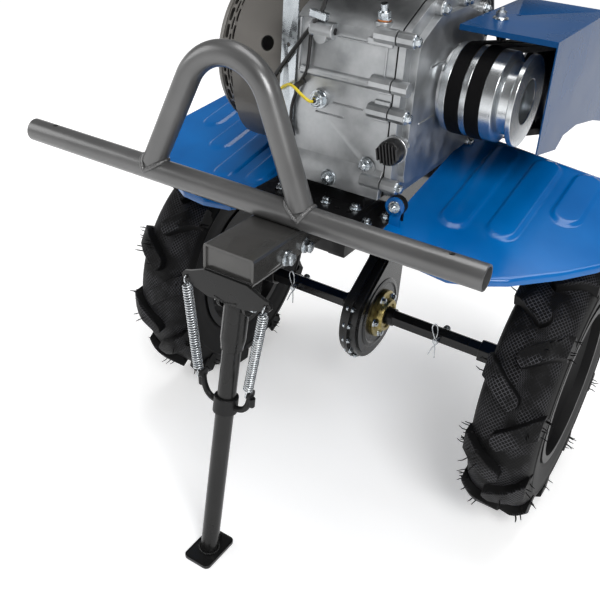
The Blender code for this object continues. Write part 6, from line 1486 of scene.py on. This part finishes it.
def ribHeight(away, y, ribs):
    # Rise of the pressed ribs: flat on top, with rounded ends and sloping flanks
    high = 0.0
    for middle, start, end, half in ribs:
        distance = math.hypot(away - middle, y - min(max(y, start), end))
        share = min(max((half - distance) / guard["ribEdge"], 0.0), 1.0)
        high = max(high, share * share * (3 - 2 * share))
    return high * guard["ribRise"]


def makeGuard(label):
    # Pressed sheet with its front and outer edges turned down over a small radius
    side, inner, line, ribs = (guardSides[label][key] for key in ("side", "inner", "front", "ribs"))
    width, roll, columns, rows = (guard[key] for key in ("width", "roll", "columns", "rows"))
    last = len(roll) - 1
    bm = bmesh.new()
    bmesh.ops.create_grid(bm, x_segments=columns, y_segments=rows, size=0.5)
    for vert in bm.verts:
        column = columns - round((vert.co.x + 0.5) * columns)
        row = round((vert.co.y + 0.5) * rows)
        fall = 0.0
        if column < last:
            share, fall = width - roll[column][0], roll[column][1]
        else:
            share = (1 - (column - last) / (columns - last)) * (width - roll[last][0])
        edge = frontEdge(line, share)
        if row < last:
            y, fall = edge + roll[row][0], min(fall, roll[row][1])
        else:
            start = edge + roll[last][0]
            y = start + (row - last) / (rows - last) * (guard["rear"] - start)
        # The sheet narrows by a fifth towards its rear edge
        away = share * (1 - 0.2 * max(y + 0.05, 0.0) / 0.265)
        z = guardTop(away, y) + fall
        if fall == 0.0:
            z += ribHeight(away, y, ribs)
        vert.co = (inner + side * away, y, z)
    bmesh.ops.recalc_face_normals(bm, faces=bm.faces)
    if sum(face.normal.z for face in bm.faces) < 0:
        bmesh.ops.reverse_faces(bm, faces=bm.faces[:])
    bmesh.ops.solidify(bm, geom=bm.faces[:], thickness=guard["sheet"])
    if side > 0:
        # Lug on the inner edge, bolted to the frame's wing through a rubber bush
        x, y, back = guardLug.x, guardLug.y, guardLug + Vector((0, 0.0022, 0))
        addBar(bm, guardLug, back, 0.0142, 36)
        addBox(bm, (x - 0.006, y, 0.496), (x + 0.01, y + 0.0022, 0.527))
    finishPiece(bm, "mudguardPressed" + label, "chassis", "blueEnamel", 0, 2, 38,
                replaced=("mudguard_" + label.lower(),))


def makeGuardMounts():
    # Rubber bush behind the lug, the bolts and the post that carries them
    spot, along = guardLug, Vector((0, 1, 0))
    bm = bmesh.new()
    addBar(bm, spot + along * 0.0025, spot + along * 0.015, 0.0148, 36, 0.0138)
    finishPiece(bm, "guardBush", "chassis", "sealRubber", 0.001, 2, 35)
    bm = bmesh.new()
    addBolt(bm, spot, -along, 0.011, 0.0062, 0.0092)
    addBar(bm, spot - along * 0.0068, spot - along * 0.0105, 0.0032, 18)
    for y in (-0.205, 0.11):
        addBolt(bm, (-0.1235, y, 0.4895), (0, 0, -1), 0.011, 0.0062, 0.0092)
    finishPiece(bm, "guardBolts", "chassis", "zincPlate", 0.0002, 1, 35)
    bm = bmesh.new()
    addBox(bm, (spot.x - 0.013, spot.y + 0.0153, 0.502), (spot.x + 0.008, spot.y + 0.0183, 0.54))
    finishPiece(bm, "guardPost", "chassis", "blackEnamel", 0.001, 2, 35)


coverTrim = {"screw": (0.1412, -0.012, 0.7622), "across": 0.0135, "thread": 0.0034}


def makeCoverTrim():
    # Turned-down front edge of the belt cover, and the screw that holds its top to the stay
    bm = bmesh.new()
    addBox(bm, (0.1125, -0.085, 0.7545), (0.2435, -0.0834, 0.7612))
    addBox(bm, (0.1122, -0.085, 0.7545), (0.1138, 0.16, 0.7612))
    finishPiece(bm, "coverFold", "chassis", "coverEnamelPaintedShade", 0.0006, 2, 35)
    bm = bmesh.new()
    top, up = Vector(coverTrim["screw"]), Vector((0, 0, 1))
    addBolt(bm, top, up, coverTrim["across"], 0.0085, 0.011)
    addBar(bm, top + up * 0.008, top + up * 0.0145, coverTrim["thread"], 18)
    finishPiece(bm, "coverScrew", "chassis", "zincPlate", 0.0002, 1, 35)


stay = {"corners": ((0.08, 0.087, 0.504), (0.08, 0.087, 0.728), (0.145, 0.03, 0.754)),
        "bend": 0.02, "rod": 0.005}


def makeStay():
    # Bent rod from the frame's rear wing up to a pad under the cover's top
    bm = bmesh.new()
    addTube(bm, roundedPath(stay["corners"], stay["bend"]), stay["rod"], 20)
    addBox(bm, (0.066, 0.075, 0.5031), (0.0885, 0.099, 0.5071))
    addBox(bm, (0.13, -0.026, 0.7545), (0.159, 0.044, 0.7596))
    finishPiece(bm, "coverStay", "chassis", "blackEnamel", 0.0006, 2, 35, replaced=("cover_stay",))


guardLug = Vector((0.097, -0.184, 0.53))
makeGuard("Left")
makeGuard("Right")
makeGuardMounts()
# The cover's darker blue is painted shade on the guards' enamel
cover = softened("belt_cover", "coverEnamelPaintedShade", 0.0007)
cover.modifiers["roundedEdges"].harden_normals = True
makeStay()
makeCoverTrim()
print("sheet metal done")


# Tank, silencer, air cleaner, handlebars and controls

bars = {"hinge": (-0.028, 0.32, 0.72), "tube": 0.014, "gripSpread": 0.28, "gripY": 1.01, "gripZ": 0.96,
        "gripLength": 0.12, "clampRoom": 0.1, "bend": 0.09, "gripRings": 9}


def makeHandlebar():
    # Hinge barrel with its plate, a cross tube and two bent tubes out to the grips
    hinge = Vector(bars["hinge"])
    along = Vector((0, bars["gripY"] - hinge.y, bars["gripZ"] - hinge.z)).normalized()
    bm = bmesh.new()
    half = 0.0157
    addSpin(bm, [(-half, 0.0065), (-half, 0.023), (-half + 0.001, 0.024), (half - 0.001, 0.024),
                 (half, 0.023), (half, 0.0065)], hinge, (1, 0, 0), 48)
    end = hinge + along * 0.085
    addPlate(bm, [(hinge.y + 0.012, hinge.z + 0.021), (hinge.y + 0.016, hinge.z - 0.016),
                  (end.y + 0.01, end.z - 0.016), (end.y - 0.006, end.z + 0.018)], hinge.x - half + 0.003,
             hinge.x + half - 0.003, "YZ")
    addBar(bm, (hinge.x - 0.066, end.y, end.z), (hinge.x + 0.066, end.y, end.z), bars["tube"] + 0.001, 40)
    for side in (-1, 1):
        start = Vector((hinge.x + side * 0.06, end.y, end.z))
        rise = start + along * 0.02 + Vector((side * 0.03, 0, 0))
        across = hinge.x + side * bars["gripSpread"]
        bend = Vector((across, bars["gripY"] - bars["gripLength"] - bars["clampRoom"], bars["gripZ"]))
        last = Vector((across, bars["gripY"] - 0.006, bars["gripZ"]))
        addTube(bm, roundedPath([start, rise, bend, last], bars["bend"], 14), bars["tube"], 36)
    finishPiece(bm, "handlebarTube", "bars", "gunmetalPaint", 0, 2, 40, replaced=("handlebar",))
    bm = bmesh.new()
    addBar(bm, hinge - Vector((0.031, 0, 0)), hinge + Vector((0.031, 0, 0)), 0.006, 28)
    for side in (1, -1):
        addBolt(bm, hinge + Vector((side * 0.024, 0, 0)), (side, 0, 0), 0.0165, 0.008, 0.012)
    finishPiece(bm, "hingeBolt", "swivel", "zincPlate", 0.0003, 1, 35)


def makeGrip(label, side):
    # Soft grip with moulded rings, a flange by the thumb and a closed end
    low = bars["gripY"] - bars["gripLength"] + 0.004
    inner, outer = bars["tube"] + 0.0003, 0.0175
    outline = [(low, inner), (low, outer + 0.003), (low + 0.0012, outer + 0.004),
               (low + 0.0038, outer + 0.004), (low + 0.005, outer + 0.003), (low + 0.0056, outer - 0.001)]
    pitch = (bars["gripLength"] - 0.022) / bars["gripRings"]
    for index in range(bars["gripRings"]):
        start = low + 0.008 + pitch * index
        outline += [(start + pitch * share, outer + proud) for share, proud in (
            (0.0, -0.0012), (0.14, 0.0004), (0.32, 0.0008), (0.56, 0.0004), (0.7, -0.0012))]
    end = bars["gripY"] + 0.002
    outline += [(end - 0.005, outer - 0.0008), (end - 0.001, outer - 0.003), (end, outer - 0.006),
                (end, 0.0035), (end - 0.004, 0.003), (end - 0.0077, 0.003), (end - 0.0077, inner)]
    bm = bmesh.new()
    spot = (bars["hinge"][0] + side * bars["gripSpread"], 0, bars["gripZ"])
    addSpin(bm, outline, spot, (0, 1, 0), 56)
    finishPiece(bm, "gripMoulded" + label, "bars", "gripRubber", 0, 2, 50,
                replaced=("grip_" + label.lower(),))


gearLever = {"ball": (-0.028, 0.228, 0.644), "offset": -0.08, "knobRadius": 0.0155}


def makeGearLever():
    # Bent rod on a ball, with a moulded knob at its end
    x, y, z = gearLever["ball"]
    out = x + gearLever["offset"]
    bm = bmesh.new()
    bmesh.ops.create_uvsphere(bm, u_segments=28, v_segments=16, radius=0.0074,
                              matrix=Matrix.Translation((x, y, z)))
    addTube(bm, roundedPath([(x, y, z), (x, y, z + 0.03), (out, y + 0.006, z + 0.06),
                             (out, y + 0.014, z + 0.2)], 0.022, 10), 0.006, 24)
    finishPiece(bm, "gearLeverRod", "gear_stick", "zincPlate", 0, 2, 45, replaced=("gear_lever",))
    bm = bmesh.new()
    knob = Matrix.Translation((out, y + 0.0145, z + 0.208)) @ Matrix.Diagonal((1, 1, 1.12, 1))
    bmesh.ops.create_uvsphere(bm, u_segments=36, v_segments=20, radius=gearLever["knobRadius"], matrix=knob)
    addBar(bm, (out, y + 0.0135, z + 0.186), (out, y + 0.014, z + 0.198), 0.0085, 28, 0.0115)
    finishPiece(bm, "gearLeverKnob", "gear_stick", "blackPlastic", 0, 2, 60)


airCleaner = {"spot": (-0.11, 0.1451, 0.8284), "ribs": 20}


def makeAirCleaner():
    # Moulded canister with a pressed lid, a wing nut and ribs round its foot
    spot = airCleaner["spot"]
    bm = bmesh.new()
    addSpin(bm, [(-0.04, 0.0), (-0.04, 0.0385), (-0.0385, 0.04), (-0.036, 0.046), (-0.02, 0.0472),
                 (0.013, 0.0492), (0.0145, 0.05), (0.0175, 0.05), (0.019, 0.049), (0.05, 0.0468),
                 (0.056, 0.045), (0.06, 0.0415), (0.062, 0.036), (0.0622, 0.014), (0.064, 0.012),
                 (0.064, 0.0)], spot, (0, 0, 1), 72)
    finishPiece(bm, "airCleanerCan", "chassis", "blackPlastic", 0, 2, 35, replaced=("air_cleaner",))
    bm = bmesh.new()
    addBox(bm, (-0.085, 0.1291, 0.7924), (-0.0543, 0.1611, 0.8184))
    for index in range(airCleaner["ribs"]):
        turn = 2 * math.pi * index / airCleaner["ribs"]
        before = set(bm.verts)
        addBox(bm, (0.045, -0.0016, -0.034), (0.0488, 0.0016, 0.008))
        placed(bm, before, Matrix.Translation(spot) @ Matrix.Rotation(turn, 4, "Z"))
    finishPiece(bm, "airCleanerElbow", "chassis", "blackPlastic", 0.0012, 2, 35)
    bm = bmesh.new()
    top = Vector(spot) + Vector((0, 0, 0.0638))
    addBar(bm, top, top + Vector((0, 0, 0.0095)), 0.0045, 24, 0.0036)
    for side in (-1, 1):
        before = set(bm.verts)
        addBox(bm, (0.002, -0.0012, 0.001), (0.0125, 0.0012, 0.0088))
        placed(bm, before, Matrix.Translation(top) @ Matrix.Rotation(0.5 + math.pi * (side > 0), 4, "Z"))
    finishPiece(bm, "airCleanerNut", "chassis", "zincPlate", 0.0008, 2, 35)


tankCap = {"spot": (0.0115, -0.08, 0.9612), "ribs": 24}


def makeTankCap():
    # Screw cap with grip ribs round it, and its neck below
    spot, up = Vector(tankCap["spot"]), Vector((0, 0, 1))
    bm = bmesh.new()
    addSpin(bm, [(0.0, 0.0), (0.0, 0.0275), (0.001, 0.0288), (0.013, 0.028), (0.0152, 0.0262),
                 (0.016, 0.023), (0.016, 0.0)], spot, up, 64)
    for index in range(tankCap["ribs"]):
        turn = 2 * math.pi * index / tankCap["ribs"]
        out = Vector((math.cos(turn), math.sin(turn), 0))
        addBar(bm, spot + out * 0.0283 + up * 0.001, spot + out * 0.0275 + up * 0.0135, 0.0022, 8)
    addBar(bm, spot - up * 0.012, spot + up * 0.001, 0.018, 40)
    finishPiece(bm, "tankCapRibbed", "tank_cap", "blackPlastic", 0.0005, 2, 40, replaced=("fuel_cap",))


starterGrip = {"spot": (-0.2061, -0.005, 0.7849), "length": 0.068, "bow": 0.0035}


def makeStarterGrip():
    # Bowed handle on a neck, and the short run of cord below it
    x, y, z = starterGrip["spot"]
    bm = bmesh.new()
    shares = [step / 14 for step in range(15)]
    rail = [(x, y + starterGrip["length"] * (share - 0.5),
             z + 0.022 - starterGrip["bow"] * math.sin(math.pi * share)) for share in shares]
    addTube(bm, rail, 0.0082, 28)
    addBar(bm, (x, y, z + 0.0003), (x, y, z + 0.018), 0.0052, 28, 0.007)
    finishPiece(bm, "starterHandle", "starter", "blackPlastic", 0.0016, 3, 50, replaced=("starter_grip",))
    bm = bmesh.new()
    addBar(bm, (x, y, z - 0.058), (x, y, z + 0.002), 0.0024, 16)
    finishPiece(bm, "starterCord", "starter", "gripRubber")


# CAD solids that keep their form: node, finish, bevel, and segments or angle where they differ
softened("fuel_tank", "blackEnamel", 0.012, 5, 25)
softened("tank_bracket", "blackEnamel", 0.0008)
softened("muffler", "mufflerSteel", 0.004, 3)
softened("swivel_head", "darkPaint", 0.001)
softened("clutch_clamp", "blackPlastic", 0.0008)
softened("clutch_lever", "blackPlastic", 0.001, 3)
softened("hitch_bracket", "blackEnamel", 0.0014)
softened("hitch_pin", "zincPlate", 0.0007)
makeHandlebar()
makeGrip("Left", 1)
makeGrip("Right", -1)
makeGearLever()
makeAirCleaner()
makeTankCap()
makeStarterGrip()
print("upper parts done")


# Camera, floor and light

camera = {"place": (0.5644, -1.3912, 0.996), "turn": 30.7192, "drop": 31.5671, "roll": 3.7287,
          "lens": 48.42}


def makeCamera():
    turn, drop, roll = (math.radians(camera[key]) for key in ("turn", "drop", "roll"))
    back = Vector((math.sin(turn) * math.cos(drop), -math.cos(turn) * math.cos(drop), math.sin(drop)))
    right = (-back).cross(Vector((0, 0, 1))).normalized()
    up = right.cross(-back)
    across = right * math.cos(roll) + up * math.sin(roll)
    upward = -right * math.sin(roll) + up * math.cos(roll)
    data = bpy.data.cameras.new("photoCamera")
    data.lens = camera["lens"]
    data.sensor_width = 36
    data.clip_end = 50
    made = bpy.data.objects.new("photoCamera", data)
    bpy.context.scene.collection.objects.link(made)
    rows = Matrix((across, upward, back)).transposed().to_4x4()
    rows.translation = Vector(camera["place"])
    made.matrix_world = rows
    bpy.context.scene.camera = made


def seenRays(tree):
    # Camera rays alone, and camera rays with those off mirrors and through glass
    rays = addNode(tree, "ShaderNodeLightPath").outputs
    first = maths(tree, "MAXIMUM", rays["Is Camera Ray"], rays["Is Glossy Ray"])
    return rays["Is Camera Ray"], maths(tree, "MAXIMUM", first, rays["Is Transmission Ray"])


def makeFloor():
    # Seamless studio floor: white to the camera and in reflections, pale grey where light falls on it
    bm = bmesh.new()
    bmesh.ops.create_grid(bm, x_segments=1, y_segments=1, size=9.0)
    bmesh.ops.translate(bm, vec=(0, 0, -0.0005), verts=bm.verts)
    mesh = bpy.data.meshes.new("studioFloor")
    bm.to_mesh(mesh)
    bm.free()
    made, tree, shader = newMaterial("studioFloor", "#f4f4f4", 0.0, 0.9)
    place = addNode(tree, "ShaderNodeTexCoord").outputs["Object"]
    mottle(tree, shader, place, 3.0, "#efefef", "#f4f4f4", 0.85, 0.95)
    # Added white that only the camera, mirrors and glass see, so the paper reads white round the shadow
    _, seen = seenRays(tree)
    # Stronger away from the object, where the lamps fall off
    away = addNode(tree, "ShaderNodeVectorMath", {"operation": "LENGTH"}, {0: place}).outputs["Value"]
    level = maths(tree, "MULTIPLY", seen, ranged(tree, away, 0.9, 2.6, 0.32, 0.66))
    glow = addNode(tree, "ShaderNodeEmission", None, {"Color": (1.0, 1.0, 1.0, 1.0), "Strength": level})
    both = addNode(tree, "ShaderNodeAddShader")
    tree.links.new(shader.outputs[0], both.inputs[0])
    tree.links.new(glow.outputs[0], both.inputs[1])
    tree.links.new(both.outputs[0], tree.nodes["Material Output"].inputs["Surface"])
    mesh.materials.append(made)
    floor = bpy.data.objects.new("studioFloor", mesh)
    bpy.context.scene.collection.objects.link(floor)


def makeWorld():
    # The camera sees white; mirrors and glass see white walls under a dark ceiling
    world = bpy.data.worlds.new("studioWorld")
    bpy.context.scene.world = world
    world.use_nodes = True
    tree = world.node_tree
    ground = tree.nodes["Background"]
    ground.inputs["Color"].default_value = (1.0, 1.0, 1.0, 1.0)
    ground.inputs["Strength"].default_value = 0.34
    place = addNode(tree, "ShaderNodeTexCoord").outputs["Generated"]
    height = addNode(tree, "ShaderNodeSeparateXYZ", None, {"Vector": place}).outputs["Z"]
    fromCamera, mirrored = seenRays(tree)
    level = maths(tree, "MAXIMUM", ranged(tree, height, 0.05, 0.22, 1.0, 0.14), fromCamera)
    seen = addNode(tree, "ShaderNodeBackground", None, {"Color": (1.0, 1.0, 1.0, 1.0), "Strength": level})
    blend = addNode(tree, "ShaderNodeMixShader", None, {"Fac": mirrored})
    tree.links.new(ground.outputs[0], blend.inputs[1])
    tree.links.new(seen.outputs[0], blend.inputs[2])
    tree.links.new(blend.outputs[0], tree.nodes["World Output"].inputs["Surface"])


def addLamp(name, place, target, size, power):
    data = bpy.data.lights.new(name, "AREA")
    data.shape = "RECTANGLE"
    data.size, data.size_y = size
    data.energy = power
    lamp = bpy.data.objects.new(name, data)
    bpy.context.scene.collection.objects.link(lamp)
    away = (Vector(place) - Vector(target)).normalized()
    lamp.matrix_world = turnTo(place, away)


makeCamera()
makeFloor()
makeWorld()
# Lamps: place, size and power, each aimed just below the engine
for name, place, size, power in (("keySoftbox", (1.9, -2.2, 2.6), (1.3, 1.3), 74),
                                 ("fillSoftbox", (-2.4, -1.6, 1.6), (1.4, 1.4), 20),
                                 ("topSoftbox", (0.0, 0.2, 3.0), (2.0, 2.0), 46)):
    addLamp(name, place, (0.05, -0.45, 0.45), size, power)
bpy.context.scene.view_settings.view_transform = "Standard"
